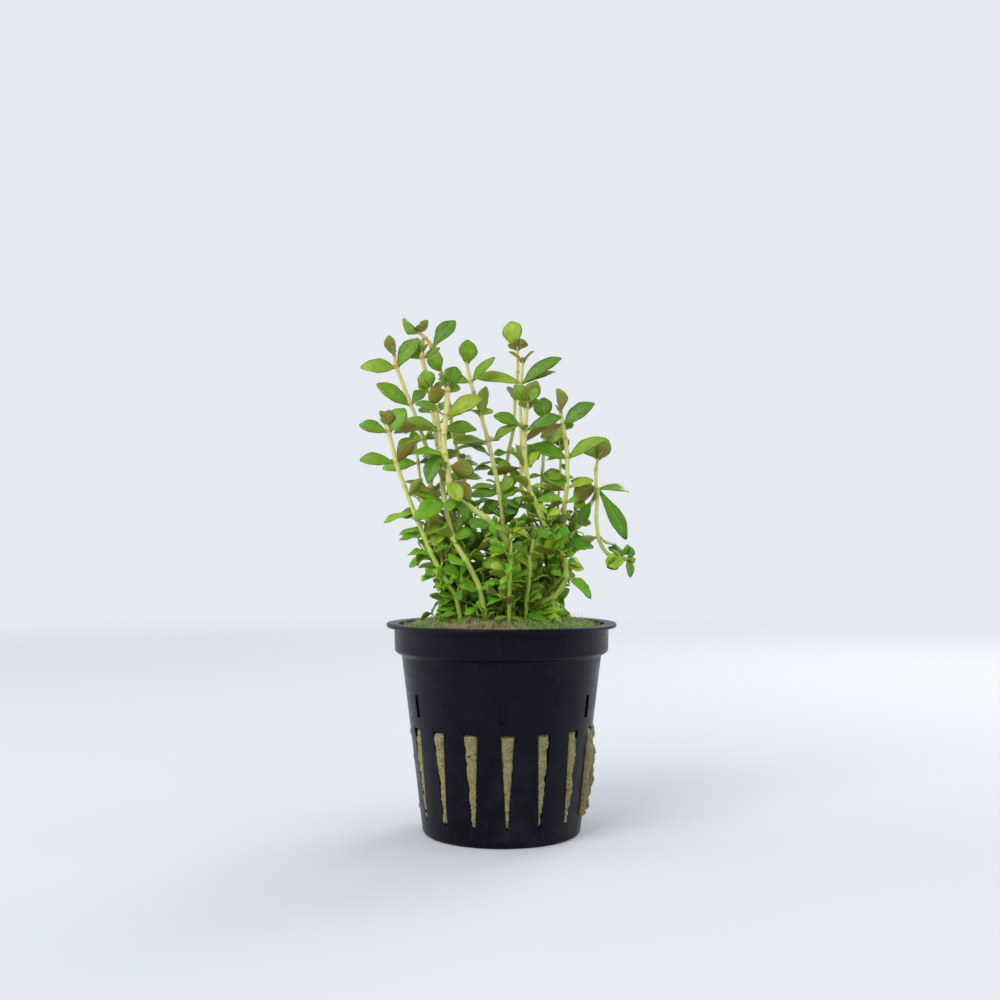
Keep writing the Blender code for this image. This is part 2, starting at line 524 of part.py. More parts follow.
def ring(centre, direction, forward, radius):
    """Corners around the stem, with the middle of one face turned to forward."""
    sideways = direction.cross(forward)
    corners = []
    for number in range(STEM_SIDES):
        angle = math.tau * (number + 0.5) / STEM_SIDES
        corners.append(centre + (forward * math.cos(angle) + sideways * math.sin(angle)) * radius)
    return corners


def nearest_forward(wanted, previous, direction):
    """Turns wanted by whole faces to lie as near as it can to the ring before it."""
    share = math.tau / STEM_SIDES
    choices = [Matrix.Rotation(share * n, 3, direction) @ wanted for n in range(STEM_SIDES)]
    return max(choices, key=lambda choice: choice.dot(previous))


class Shoot:
    """A stem's rings from its root up, and the leaves waiting to grow from it."""

    def __init__(self, name, girth, places):
        self.name = name
        self.points = [place for place, _ in places]
        self.leaves = [leaves for _, leaves in places]
        self.directions = stem_directions(self.points)
        self.radii = [stem_radius(girth, n, len(places)) for n in range(len(places))]
        self.rings = []
        forward = TOWARDS_VIEWER
        for number, (point, direction) in enumerate(zip(self.points, self.directions)):
            forward = facing(forward, direction)
            if self.leaves[number]:
                wanted = facing(self.leaves[number][0][0], direction)
                forward = nearest_forward(wanted, forward, direction)
            radius = self.radii[number]
            offsets = (-LEAF_COLLAR, LEAF_COLLAR) if self.leaves[number] else (0,)
            for offset in offsets:
                centre = point + direction * offset
                self.rings.append((number, ring(centre, direction, forward, radius)))
        self.solid = self.stem_tree()
        self.grown = []

    def stem_tree(self):
        corners = [corner for _, corners in self.rings for corner in corners]
        faces = []
        for start in range(0, len(corners) - STEM_SIDES, STEM_SIDES):
            for n in range(STEM_SIDES):
                after = (n + 1) % STEM_SIDES
                faces.append((start + n, start + after, start + STEM_SIDES + after, start + STEM_SIDES + n))
        return BVHTree.FromPolygons(corners, faces)


def far_enough(one, other):
    """True if two stems keep their clearance."""
    for a, b, start in zip(one.points, one.points[1:], one.radii):
        steps = max(1, int((b - a).length / STEM_STEP))
        for step in range(steps + 1):
            place = a.lerp(b, step / steps)
            found = other.solid.find_nearest(place)
            if found[0] is not None and found[3] < start + STEM_CLEAR:
                return False
    return True


# Shoots: the leaves


class Leaf:
    """One leaf's sections, four corners each, from near its node to its blunt tip."""

    def __init__(self, shoot, number, reach, width, lean):
        self.width = width
        self.stations = LARGE_STATIONS if reach.length > LARGE_LEAF else SMALL_STATIONS
        self.direction = shoot.directions[number]
        self.node = shoot.points[number]
        outward = facing(reach, self.direction)
        self.start = self.node + outward * shoot.radii[number] * LEAF_DEPTH
        self.line = self.node + reach - self.start
        along = self.line.normalized()
        face = (self.direction * along.dot(outward) - outward * along.dot(self.direction)).normalized()
        edge = along.cross(face)
        if edge.dot(TOWARDS_VIEWER) < 0:
            edge = -edge
        face = face * math.cos(math.radians(lean)) + edge * math.sin(math.radians(lean))
        self.face = face
        self.across = face.cross(along)
        self.skin = self.tree(0)

    def section(self, share, width, grow=0.0):
        centre = self.start + self.line * share
        centre += self.face * self.line.length * LEAF_BOW * 4 * share * (1 - share)
        half = self.across * (self.width * width / 2 + grow)
        thick = self.face * (LEAF_THICK / 2 + grow)
        return [centre + half - thick, centre + half + thick, centre - half + thick, centre - half - thick]

    def sections(self):
        return [self.section(share, width) for share, width in self.stations]

    def tree(self, grow):
        """The leaf's skin past its narrow base, swollen by grow, for finding what it touches."""
        rows = [self.section(share, width, grow) for share, width in (LEAF_BASE, *self.stations)]
        corners = [corner for row in rows for corner in row]
        faces = [(0, 1, 2, 3), tuple(range(len(corners) - 4, len(corners)))]
        for start in range(0, len(corners) - 4, 4):
            for n in range(4):
                after = (n + 1) % 4
                faces.append((start + n, start + after, start + 4 + after, start + 4 + n))
        return BVHTree.FromPolygons(corners, faces)

    def reach_from(self, other):
        """True if two leaves are near enough that they might touch."""
        middle = self.start + self.line / 2
        theirs = other.start + other.line / 2
        return (middle - theirs).length < (self.line.length + other.line.length) / 2 + self.width


def trials(shoot, number, reach, width, lean):
    """The leaf where the photograph has it, then turned, lifted and shortened step by step."""
    direction = shoot.directions[number]
    for size in TRIAL_SIZES:
        for lift in TRIAL_LIFTS:
            for turn in TRIAL_TURNS:
                moved = Matrix.Rotation(math.radians(turn), 3, direction) @ reach
                sideways = direction.cross(facing(moved, direction))
                moved = Matrix.Rotation(math.radians(-lift), 3, sideways) @ moved
                yield Leaf(shoot, number, moved * size, width * math.sqrt(size), lean)


def has_room(trial, shoot, shoots):
    skin = trial.tree(LEAF_CLEAR)
    for other in shoots:
        if skin.overlap(other.solid):
            return False
        for grown in other.grown:
            if trial.reach_from(grown) and skin.overlap(grown.skin):
                return False
    return True


def place_leaves(shoots):
    """Finds room for every leaf, so that no two nodes of the model meet."""
    left_out = 0
    for shoot in shoots:
        for number, leaves in enumerate(shoot.leaves):
            placed = []
            for reach, width, lean in leaves:
                options = trials(shoot, number, reach, width, lean)
                found = next((trial for trial in options if has_room(trial, shoot, shoots)), None)
                if found is None:
                    left_out += 1
                    continue
                shoot.grown.append(found)
                placed.append(found)
            shoot.leaves[number] = placed
    total = sum(len(shoot.grown) for shoot in shoots)
    print(f"{total} leaves on {len(shoots)} shoots, {left_out} left out for want of room")


# Shoots: the solid


def extruded(mesh, face, corners):
    """Extrudes one face, puts its corners in place, and returns the new end and the sides."""
    end = bmesh.ops.extrude_discrete_faces(mesh, faces=[face])["faces"][0]
    for vert, corner in zip(end.verts, corners):
        vert.co = corner
    sides = [side for edge in end.edges for side in edge.link_faces if side is not end]
    return end, sides


def outward_of(face, centre):
    return (face.calc_center_median() - centre).normalized()


def build_shoot(shoot, material):
    mesh = bmesh.new()
    base = bmesh.ops.create_cone(
        mesh, segments=STEM_SIDES, radius1=1, radius2=1, depth=1, cap_ends=True
    )["verts"]
    lower = sorted((v for v in base if v.co.z < 0), key=lambda v: math.atan2(v.co.y, v.co.x))
    end = max(mesh.faces, key=lambda face: face.calc_center_median().z)
    upper = list(end.verts)
    first, second = shoot.rings[0][1], shoot.rings[1][1]
    below = [min(lower, key=lambda v: (v.co.xy - top.co.xy).length) for top in upper]
    for vert, corner in zip(upper, second):
        vert.co = corner
    for vert, corner in zip(below, first):
        vert.co = corner
    previous = shoot.rings[1][0]
    for number, corners in shoot.rings[2:]:
        end, sides = extruded(mesh, end, corners)
        if number == previous:
            grow_leaves(mesh, sides, shoot, number)
        previous = number
    finished(shoot.name, mesh, material)


def grow_leaves(mesh, sides, shoot, number):
    """Grows each leaf at a place on the stem out of the stem's face that it points away from."""
    free = list(sides)
    for grown in shoot.leaves[number]:
        wanted = facing(grown.line, grown.direction)
        face = max(free, key=lambda side: outward_of(side, grown.node).dot(wanted))
        free.remove(face)
        for corners in grown.sections():
            face, _ = extruded(mesh, face, corners)


def build_shoots():
    green = paint("leaf green", (0.16, 0.33, 0.035), 0.42)
    shoots = [Shoot(*described) for described in SHOOTS]
    thicket(shoots)
    place_leaves(shoots)
    for shoot in shoots:
        build_shoot(shoot, green)


clear_scene()
build_pot()
build_wool()
build_shoots()
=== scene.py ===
# %% [markdown]
# A potted rotala, dressed
#
# The plant is a bunch of thin upright stems with small leaves in opposite pairs. It grows in
# rock wool in a small plastic cup. The solids give every stem, leaf and wall its place, so this
# file grows a finer plant and turns a finer cup in exactly those places.
# All sizes below are millimetres, and meshes are scaled to metres when they are finished.

# %% Load the frame and measure it
import json
import math
import random

import bmesh
import bpy
from mathutils import Matrix, Vector, noise
from mathutils.kdtree import KDTree


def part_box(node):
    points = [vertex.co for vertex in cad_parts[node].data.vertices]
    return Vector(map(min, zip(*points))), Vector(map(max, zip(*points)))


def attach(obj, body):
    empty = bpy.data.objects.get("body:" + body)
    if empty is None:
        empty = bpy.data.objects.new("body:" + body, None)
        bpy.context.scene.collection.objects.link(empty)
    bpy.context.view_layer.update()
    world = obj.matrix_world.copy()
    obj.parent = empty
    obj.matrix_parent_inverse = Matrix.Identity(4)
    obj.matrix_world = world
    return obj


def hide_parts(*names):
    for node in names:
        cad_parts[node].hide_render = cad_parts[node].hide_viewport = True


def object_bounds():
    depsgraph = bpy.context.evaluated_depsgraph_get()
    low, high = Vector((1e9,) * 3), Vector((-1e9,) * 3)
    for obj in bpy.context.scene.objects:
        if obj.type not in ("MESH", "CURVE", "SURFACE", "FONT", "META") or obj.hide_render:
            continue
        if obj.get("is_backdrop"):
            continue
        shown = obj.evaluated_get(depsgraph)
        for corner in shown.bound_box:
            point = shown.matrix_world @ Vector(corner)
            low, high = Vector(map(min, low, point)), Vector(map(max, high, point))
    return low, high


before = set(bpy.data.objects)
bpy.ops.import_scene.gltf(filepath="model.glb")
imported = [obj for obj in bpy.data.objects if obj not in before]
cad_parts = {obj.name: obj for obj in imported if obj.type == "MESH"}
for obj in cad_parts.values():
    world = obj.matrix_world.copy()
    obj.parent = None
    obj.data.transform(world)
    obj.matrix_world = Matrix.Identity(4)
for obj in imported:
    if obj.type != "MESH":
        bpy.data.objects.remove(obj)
solid_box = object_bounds()
MM = 0.001
nodes = sorted(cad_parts)
shoot_names = [name for name in nodes if name.startswith("shoot_")]
print("solids:", len(nodes), "of them shoots:", len(shoot_names))


def box_mm(name):
    """Lowest and highest corner of a solid, in millimetres."""
    low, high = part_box(name)
    return low / MM, high / MM


# %% [markdown]
# The picture was taken close up, with the lens level at about the height of the leaves above
# the cup. So the camera stands 300 mm from the cup's axis and isn't tilted, and a small lens
# shift brings the whole plant and cup into the frame.

# %% Camera
EYE_DISTANCE = 300.0
EYE_HEIGHT = 69.6
PIXEL = 0.24  # size of one pixel of the square picture, at the cup's axis
PICTURE = 1000 * PIXEL
FRAME_CENTRE = Vector((-0.36, 0, 79.3))

lens = bpy.data.cameras.new("camera")
lens.sensor_width = 36
lens.lens = lens.sensor_width * EYE_DISTANCE / PICTURE
lens.shift_x = FRAME_CENTRE.x / PICTURE
lens.shift_y = (FRAME_CENTRE.z - EYE_HEIGHT) / PICTURE
lens.clip_start = 0.01
camera = bpy.data.objects.new("camera", lens)
camera.location = (0, -EYE_DISTANCE * MM, EYE_HEIGHT * MM)
camera.rotation_euler = (math.radians(90), 0, 0)
bpy.context.scene.collection.objects.link(camera)
bpy.context.scene.camera = camera
print("lens", round(lens.lens, 1), "mm, shift up", round(lens.shift_y, 4))

# %% [markdown]
# Leaves show their colour best in light that comes from all around, with one large soft source
# to model them. The sky gives the first, and two panels give the second: a big one over the
# viewer's left shoulder, and a weaker one behind, whose light comes through the thin leaves.
# The backdrop is brighter than the light it gives, as a lit wall far behind a subject is, so the
# sky has one strength where it is seen and a lower one where it lights.

# %% Studio light
SKY = (0.86, 0.9, 0.95, 1)
SKY_SEEN = 0.92
SKY_LIGHT = 0.72
scene = bpy.context.scene
scene.view_settings.view_transform = "Standard"

sky = bpy.data.worlds.new("studio")
sky.use_nodes = True
background = sky.node_tree.nodes["Background"]
background.inputs["Color"].default_value = SKY
seen = sky.node_tree.nodes.new("ShaderNodeLightPath")
strength = sky.node_tree.nodes.new("ShaderNodeMapRange")
strength.inputs["To Min"].default_value = SKY_LIGHT
strength.inputs["To Max"].default_value = SKY_SEEN
sky.node_tree.links.new(seen.outputs["Is Camera Ray"], strength.inputs["Value"])
sky.node_tree.links.new(strength.outputs["Result"], background.inputs["Strength"])
scene.world = sky


def softbox(name, place, aim, size, watts):
    """A square panel of light at a place, turned to face a point, all in metres."""
    panel = bpy.data.lights.new(name, "AREA")
    panel.size = size
    panel.energy = watts
    obj = bpy.data.objects.new(name, panel)
    obj.location = place
    obj.rotation_euler = (Vector(aim) - Vector(place)).to_track_quat("-Z", "Y").to_euler()
    scene.collection.objects.link(obj)


softbox("key", (-0.42, -0.55, 0.62), (0, 0, 0.07), 0.5, 4.4)
softbox("back", (0.4, 0.55, 0.5), (0, 0, 0.08), 0.4, 2.6)
softbox("left edge", (-0.7, 0.1, 0.12), (0, 0, 0.05), 0.5, 1.6)
softbox("right edge", (0.7, 0.1, 0.12), (0, 0, 0.05), 0.5, 1.6)
print("world and four panels")

# %% [markdown]
# Two small tools come before any mesh. One adds a shader node and fills its sockets, so that a
# finish reads as a short recipe. The other turns a mesh in millimetres into a piece of the
# plant, which rides on the one body there is.

# %% Tools for finishes and pieces


def add(tree, kind, inputs=(), **settings):
    """Adds a shader node. A socket given as an input is linked, and a value is set."""
    made = tree.nodes.new("ShaderNode" + kind)
    for key, value in settings.items():
        setattr(made, key, value)
    for key, value in dict(inputs).items():
        if isinstance(value, bpy.types.NodeSocket):
            tree.links.new(value, made.inputs[key])
        else:
            made.inputs[key].default_value = value
    return made


def mixed(tree, factor, first, second, blend="MIX"):
    """The colour between two others, each a socket or a colour."""
    made = add(tree, "Mix", {0: factor, 6: first, 7: second}, data_type="RGBA", blend_type=blend)
    return made.outputs[2]


def summed(tree, operation, first, second=0.0, clamp=False):
    """One step of arithmetic on numbers or sockets."""
    made = add(tree, "Math", {0: first, 1: second}, operation=operation, use_clamp=clamp)
    return made.outputs[0]


def spread(tree, value, low, high, to_low=0.0, to_high=1.0):
    """A value eased from one range to another."""
    limits = {"Value": value, "From Min": low, "From Max": high, "To Min": to_low, "To Max": to_high}
    made = add(tree, "MapRange", limits, interpolation_type="SMOOTHSTEP")
    return made.outputs["Result"]


def cloudy(tree, place, scale, detail=2.0, roughness=0.5):
    """Noise from 0 to 1 over a place socket."""
    inputs = {"Vector": place, "Scale": scale, "Detail": detail, "Roughness": roughness}
    return add(tree, "TexNoise", inputs).outputs["Fac"]


def finish(name):
    """A new material, with its node tree and its Principled shader."""
    material = bpy.data.materials.new(name)
    material.use_nodes = True
    return material, material.node_tree, material.node_tree.nodes["Principled BSDF"]


def object_place(tree, scale=(1, 1, 1)):
    """Object coordinates in millimetres, stretched by scale."""
    source = add(tree, "TexCoord").outputs["Object"]
    factors = tuple(value / MM for value in scale)
    return add(tree, "Mapping", {"Vector": source, "Scale": factors}).outputs["Vector"]


def bumped(tree, shader, height, distance, strength=1.0):
    """Lets a height in millimetres shade the surface."""
    inputs = {"Height": height, "Distance": distance * MM, "Strength": strength}
    made = add(tree, "Bump", inputs)
    tree.links.new(made.outputs["Normal"], shader.inputs["Normal"])


def as_object(name, mesh, materials, sharp=None):
    """Turns a bmesh in millimetres into a smooth-shaded object in metres."""
    bmesh.ops.scale(mesh, vec=(MM, MM, MM), verts=mesh.verts)
    data = bpy.data.meshes.new(name)
    mesh.to_mesh(data)
    mesh.free()
    data.shade_smooth()
    if sharp is not None:
        data.set_sharp_from_angle(angle=math.radians(sharp))
    for material in materials:
        data.materials.append(material)
    obj = bpy.data.objects.new(name, data)
    scene.collection.objects.link(obj)
    return obj


def piece(obj, slot, *replaced):
    """Makes an object part of the plant, in place of the solids that it stands for."""
    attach(obj, "root")
    if replaced:
        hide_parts(*replaced)
    print(obj.name, len(obj.data.polygons), "faces")


def turned(outline, sides):
    """Spins an outline of (radius, height) points, which starts and ends on the axis."""
    mesh = bmesh.new()
    points = [mesh.verts.new((radius, 0, height)) for radius, height in outline]
    edges = [mesh.edges.new(ends) for ends in zip(points, points[1:])]
    bmesh.ops.spin(
        mesh, geom=points + edges, cent=(0, 0, 0), axis=(0, 0, 1),
        angle=math.tau, steps=sides, use_merge=True,
    )
    bmesh.ops.remove_doubles(mesh, verts=mesh.verts, dist=0.001)
    bmesh.ops.recalc_face_normals(mesh, faces=mesh.faces)
    return mesh


def applied(obj):
    """Turns the modifiers of an object into plain mesh."""
    graph = bpy.context.evaluated_depsgraph_get()
    obj.data = bpy.data.meshes.new_from_object(obj.evaluated_get(graph))
    obj.modifiers.clear()


# %% [markdown]
# The stage is one large flat floor. Near the cup it is a pale matt surface that takes the
# shadow. Further out it melts into the sky's own colour, so that no horizon line crosses the
# picture from any side.

# %% Stage
FLOOR_RADIUS = 20000.0
FADE_START = 260.0
FADE_END = 900.0

pale, tree, shader = finish("pale floor")
shader.inputs["Base Color"].default_value = (0.66, 0.68, 0.71, 1)
shader.inputs["Roughness"].default_value = 0.8
shader.inputs["Specular IOR Level"].default_value = 0.1
reach = add(tree, "VectorMath", {0: object_place(tree)}, operation="LENGTH").outputs["Value"]
far = add(tree, "Emission", {"Color": SKY, "Strength": SKY_SEEN}).outputs["Emission"]
fade = add(tree, "MixShader", {0: spread(tree, reach, FADE_START, FADE_END), 1: shader.outputs["BSDF"], 2: far})
tree.links.new(fade.outputs["Shader"], tree.nodes["Material Output"].inputs["Surface"])
stage_mesh = bmesh.new()
bmesh.ops.create_circle(stage_mesh, cap_ends=True, segments=96, radius=FLOOR_RADIUS)
stage = as_object("stage", stage_mesh, [pale])
stage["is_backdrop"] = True
print("stage", round(stage.dimensions.x, 1), "m across")

# %% [markdown]
# The cup is one thin injection moulding: a flat lip, a collar below it, and a tapered wall with
# upright slots in its lower half. Six small recesses sit above the slots. The outline is turned
# like the solid's, with rounded corners, and the slots and recesses are cut by Booleans.

# %% The cup's sizes
cup_low, cup_high = box_mm("pot")
LIP_RADIUS = (cup_high.x - cup_low.x) / 2
CUP_HEIGHT = cup_high.z
LIP_THICK = 1.0
COLLAR_RADIUS = 25.65
COLLAR_FOOT = 43.3
SHOULDER_HEIGHT = 42.3
BODY_TOP_RADIUS = 23.85
BODY_FOOT_RADIUS = 18.8
WALL = 1.0
CUP_FLOOR = 1.2
CUP_SIDES = 144
SLOT_COUNT = 16
SLOT_FIRST = 3.8
SLOT_TOP = 26.0
SLOT_BOTTOM = 4.5
SLOT_TOP_WIDTH = 3.4
SLOT_BOTTOM_WIDTH = 0.6
RECESS_COUNT = 6
RECESS_MIDDLE = 31.3
RECESS_SIZE = Vector((1.7, 0.8, 5.2))
print("cup", round(2 * LIP_RADIUS, 1), "across and", round(CUP_HEIGHT, 1), "high")


def body_radius(height):
    """Radius of the cup's tapered outside at a height."""
    share = height / SHOULDER_HEIGHT
    return BODY_FOOT_RADIUS + (BODY_TOP_RADIUS - BODY_FOOT_RADIUS) * share


def rounded(corner, before, after, radius, steps=4):
    """Points of an arc that rounds the corner between two straight runs of an outline."""
    corner = Vector(corner)
    into = (corner - Vector(before)).normalized()
    out = (Vector(after) - corner).normalized()
    start, end = corner - into * radius, corner + out * radius
    arc = []
    for step in range(steps + 1):
        share = step / steps
        arc.append(tuple(start.lerp(corner, share).lerp(corner.lerp(end, share), share)))
    return arc


# %% Turn the cup
lip_foot = CUP_HEIGHT - LIP_THICK
corners = [
    ((0, 0), 0),
    ((BODY_FOOT_RADIUS, 0), 0.9),
    ((BODY_TOP_RADIUS, SHOULDER_HEIGHT), 0.35),
    ((COLLAR_RADIUS - 0.15, COLLAR_FOOT), 0.6),
    ((COLLAR_RADIUS, lip_foot), 0.35),
    ((LIP_RADIUS, lip_foot), 0.4),
    ((LIP_RADIUS, CUP_HEIGHT), 0.4),
    ((COLLAR_RADIUS - WALL, CUP_HEIGHT), 0.35),
    ((COLLAR_RADIUS - WALL, COLLAR_FOOT + WALL), 0.3),
    ((BODY_TOP_RADIUS - WALL, SHOULDER_HEIGHT), 0.3),
    ((body_radius(CUP_FLOOR) - WALL, CUP_FLOOR), 0.3),
    ((0, CUP_FLOOR), 0),
]
cup_outline = []
for number, (corner, radius) in enumerate(corners):
    if radius:
        cup_outline += rounded(corner, corners[number - 1][0], corners[number + 1][0], radius)
    else:
        cup_outline.append(corner)
cup = as_object("cup", turned(cup_outline, CUP_SIDES), [])
print("cup outline has", len(cup_outline), "points")

# %% Cut the slots and the recesses


def ring_of_cubes(count, first, shape):
    """Copies of a cube around the axis, each corner moved by shape before it is turned."""
    mesh = bmesh.new()
    for number in range(count):
        cube = bmesh.ops.create_cube(mesh, size=1)["verts"]
        for vert in cube:
            vert.co = shape(vert.co)
        turn = Matrix.Rotation(math.radians(first + 360 / count * number), 3, "Z")
        bmesh.ops.rotate(mesh, verts=cube, matrix=turn)
    return mesh


def slot_wedge(corner):
    """A slot is as deep as the wall and narrows downwards."""
    width = SLOT_TOP_WIDTH if corner.z > 0 else SLOT_BOTTOM_WIDTH
    depth = -LIP_RADIUS + (LIP_RADIUS - BODY_FOOT_RADIUS / 2) * (corner.y + 0.5)
    return Vector((corner.x * width, depth, SLOT_BOTTOM + (SLOT_TOP - SLOT_BOTTOM) * (corner.z + 0.5)))


def recess_block(corner):
    """A recess is a shallow upright box that follows the wall's slope."""
    height = RECESS_MIDDLE + RECESS_SIZE.z * corner.z
    return Vector((corner.x * RECESS_SIZE.x, -body_radius(height) + RECESS_SIZE.y * corner.y, height))


for cutter_name, cutter_mesh in (
    ("slots", ring_of_cubes(SLOT_COUNT, SLOT_FIRST, slot_wedge)),
    ("recesses", ring_of_cubes(RECESS_COUNT, 1.0, recess_block)),
):
    cutter = as_object(cutter_name, cutter_mesh, [])
    cut = cup.modifiers.new(cutter_name, "BOOLEAN")
    cut.operation = "DIFFERENCE"
    cut.object = cutter
applied(cup)
for cutter_name in ("slots", "recesses"):
    bpy.data.objects.remove(bpy.data.objects[cutter_name])
cup.data.shade_smooth()
cup.data.set_sharp_from_angle(angle=math.radians(38))
print("cup after its cuts:", len(cup.data.polygons), "faces")

# %% [markdown]
# The plastic is nearly black with a blue cast. It is smooth enough to hold a soft highlight, and
# it has faint flow marks round the wall and fine scuffs. Pale bluish-grey patches, stronger towards
# the bottom, are partly dust and partly a painted reflection of the pale surroundings.

# %% Cup plastic
plastic, tree, shader = finish("blue-black cup plastic")
place = object_place(tree)
around = object_place(tree, (0.25, 0.25, 2.2))
scuff = object_place(tree, (3.5, 3.5, 0.35))
height = add(tree, "SeparateXYZ", {"Vector": place}).outputs["Z"]
# Dust and painted reflection: patches of pale bluish grey that grow stronger towards the bottom.
dust_and_reflection_patches = spread(tree, cloudy(tree, place, 0.16, 5, 0.62), 0.44, 0.72)
low_down = spread(tree, height, 30.0, 2.0, 0.25, 1.0)
dust_and_painted_reflection = summed(tree, "MULTIPLY", dust_and_reflection_patches, low_down)
flow = cloudy(tree, around, 0.35, 3)
scratches = spread(tree, cloudy(tree, scuff, 0.5, 2, 0.7), 0.62, 0.74)
base = mixed(tree, flow, (0.0016, 0.0011, 0.0034, 1), (0.0036, 0.0034, 0.0085, 1))
# Paints the dust and the painted reflection as a pale bluish grey.
base = mixed(tree, summed(tree, "MULTIPLY", dust_and_painted_reflection, 0.22), base, (0.04, 0.043, 0.055, 1))
base = mixed(tree, summed(tree, "MULTIPLY", scratches, 0.1), base, (0.08, 0.085, 0.1, 1))
tree.links.new(base, shader.inputs["Base Color"])
gloss = summed(tree, "ADD", spread(tree, flow, 0.3, 0.7, 0.27, 0.36), summed(tree, "MULTIPLY", dust_and_painted_reflection, 0.25))
tree.links.new(summed(tree, "ADD", gloss, summed(tree, "MULTIPLY", scratches, 0.15)), shader.inputs["Roughness"])
shader.inputs["Specular IOR Level"].default_value = 0.13
shader.inputs["Specular Tint"].default_value = (0.82, 0.82, 1, 1)
grain = summed(tree, "ADD", cloudy(tree, place, 3.0, 3), summed(tree, "MULTIPLY", flow, 1.5))
bumped(tree, shader, summed(tree, "ADD", grain, scratches), 0.02, 0.6)
cup.data.materials.append(plastic)
piece(cup, "cup_plastic", "pot")

# %% [markdown]
# Rock wool is a felt of spun mineral fibre. Inside the cup it is a tapered plug. It swells a
# little through the slots, most where the cup squeezes it, and its top is a low lumpy mound with
# a coat of algae. The plug is turned, then its points are pushed out by noise and by the slots.

# %% The wool's form
GAP = 0.3
WOOL_CROWN = 49.4
WOOL_EDGE = 48.0
WOOL_SIDES = 448
WOOL_RIM = COLLAR_RADIUS - WALL - GAP


def wool_top(across, back):
    """Height of the solid plug's domed top."""
    share = math.hypot(across, back) / WOOL_RIM
    return WOOL_EDGE + (WOOL_CROWN - WOOL_EDGE) * (1 - share * share)


def lumps(point, scale, seed):
    """Smooth noise, about -1 to 1, with features of about 1 / scale millimetres."""
    return noise.fractal(point * scale + Vector((seed, seed, seed)), 0.8, 2.0, 3)


def mound(across, back):
    """Height of the wool's lumpy top."""
    point = Vector((across, back, 0))
    inner = 1 - min(1, math.hypot(across, back) / WOOL_RIM) ** 4
    swell = 0.6 * lumps(point, 0.13, 3) + 0.35 * lumps(point, 0.6, 8)
    return wool_top(across, back) + inner * (1.25 + swell)


def spilling(angle):
    """How much the wool spills over the edges of a slot, from 0 to 1, by the slot's direction."""
    return (0.5 + 0.5 * math.cos(angle + math.radians(118))) ** 8


def slot_share(angle, height):
    """How far a point on the plug lies inside a slot, from 0 at its edge to 1 at its middle."""
    pitch = 360 / SLOT_COUNT
    off = (math.degrees(angle) + 90 - SLOT_FIRST + pitch / 2) % pitch - pitch / 2
    rise = (height - SLOT_BOTTOM) / (SLOT_TOP - SLOT_BOTTOM)
    if not 0 < rise < 1:
        return 0.0
    half = (SLOT_BOTTOM_WIDTH + (SLOT_TOP_WIDTH - SLOT_BOTTOM_WIDTH) * rise) / 2
    edge = Vector((math.cos(angle) * 9, math.sin(angle) * 9, height))
    half += 0.3 * spilling(angle) * (1.2 + lumps(edge, 0.6, 33)) + 0.12 * lumps(edge, 0.9, 37)
    side = 1 - abs(math.radians(off)) * body_radius(height) / half
    end = min(rise, 1 - rise) * (SLOT_TOP - SLOT_BOTTOM) / 0.8
    return max(0.0, min(1.0, side * 1.6, end))


def bulge(angle, height):
    """How far the wool stands out of the plug: in a slot it reaches the cup's outside or past it."""
    share = slot_share(angle, height)
    if share <= 0:
        return 0.0
    point = Vector((math.cos(angle) * 9, math.sin(angle) * 9, height))
    squeezed = (0.5 + 0.5 * math.cos(angle - math.radians(8))) ** 6
    low_down = max(0.0, min(1.0, (26.5 - height) / 8))
    push = WALL + GAP - 0.2 + 0.4 * spilling(angle) + 0.5 * lumps(point, 0.22, 21) + 0.4 * lumps(point, 0.7, 27)
    push += squeezed * (0.2 + 1.75 * low_down)
    return push * math.sin(share * math.pi / 2) ** 0.5


# %% Turn the plug and push it into shape
wool_outline = [(0, CUP_FLOOR + GAP), (body_radius(CUP_FLOOR + GAP) - WALL - GAP, CUP_FLOOR + GAP)]
WALL_RINGS = 84
for step in range(1, WALL_RINGS + 1):
    height = CUP_FLOOR + GAP + (SHOULDER_HEIGHT - CUP_FLOOR) * step / WALL_RINGS
    wool_outline.append((body_radius(min(height, SHOULDER_HEIGHT)) - WALL - GAP, height))
wool_outline.append((WOOL_RIM, COLLAR_FOOT + WALL + GAP))
TOP_RINGS = 30
for step in range(TOP_RINGS + 1):
    radius = WOOL_RIM * (1 - step / TOP_RINGS)
    wool_outline.append((radius, wool_top(radius, 0)))
wool_mesh = turned(wool_outline, WOOL_SIDES)
for vert in wool_mesh.verts:
    reach = vert.co.xy.length
    if vert.co.z > WOOL_EDGE - 0.5:
        vert.co.z = mound(vert.co.x, vert.co.y)
    elif reach > BODY_FOOT_RADIUS / 2:
        angle = math.atan2(vert.co.y, vert.co.x)
        out = (reach + bulge(angle, vert.co.z) + 0.1 * lumps(vert.co, 0.9, 5)) / reach
        vert.co.x *= out
        vert.co.y *= out
print("wool plug:", len(wool_mesh.faces), "faces")

# %% [markdown]
# Its colour is a dirty straw yellow, darker in streaks along the fibres, with painted shade in
# dark cracks. On top it is overgrown: green film in patches, brown between them. Long stretched
# noise makes the lie of the fibres, and the bump uses the same noise, so colour and relief agree.

# %% Wool finish


def middle_of_mound(tree):
    """A share that is highest in the middle of the mound, where the wool is brown and bare."""
    across = add(tree, "SeparateXYZ", {"Vector": object_place(tree)}).outputs["X"]
    off = summed(tree, "ABSOLUTE", summed(tree, "ADD", across, 2.5))
    return spread(tree, off, 13.0, 5.0, 0.0, 0.3)


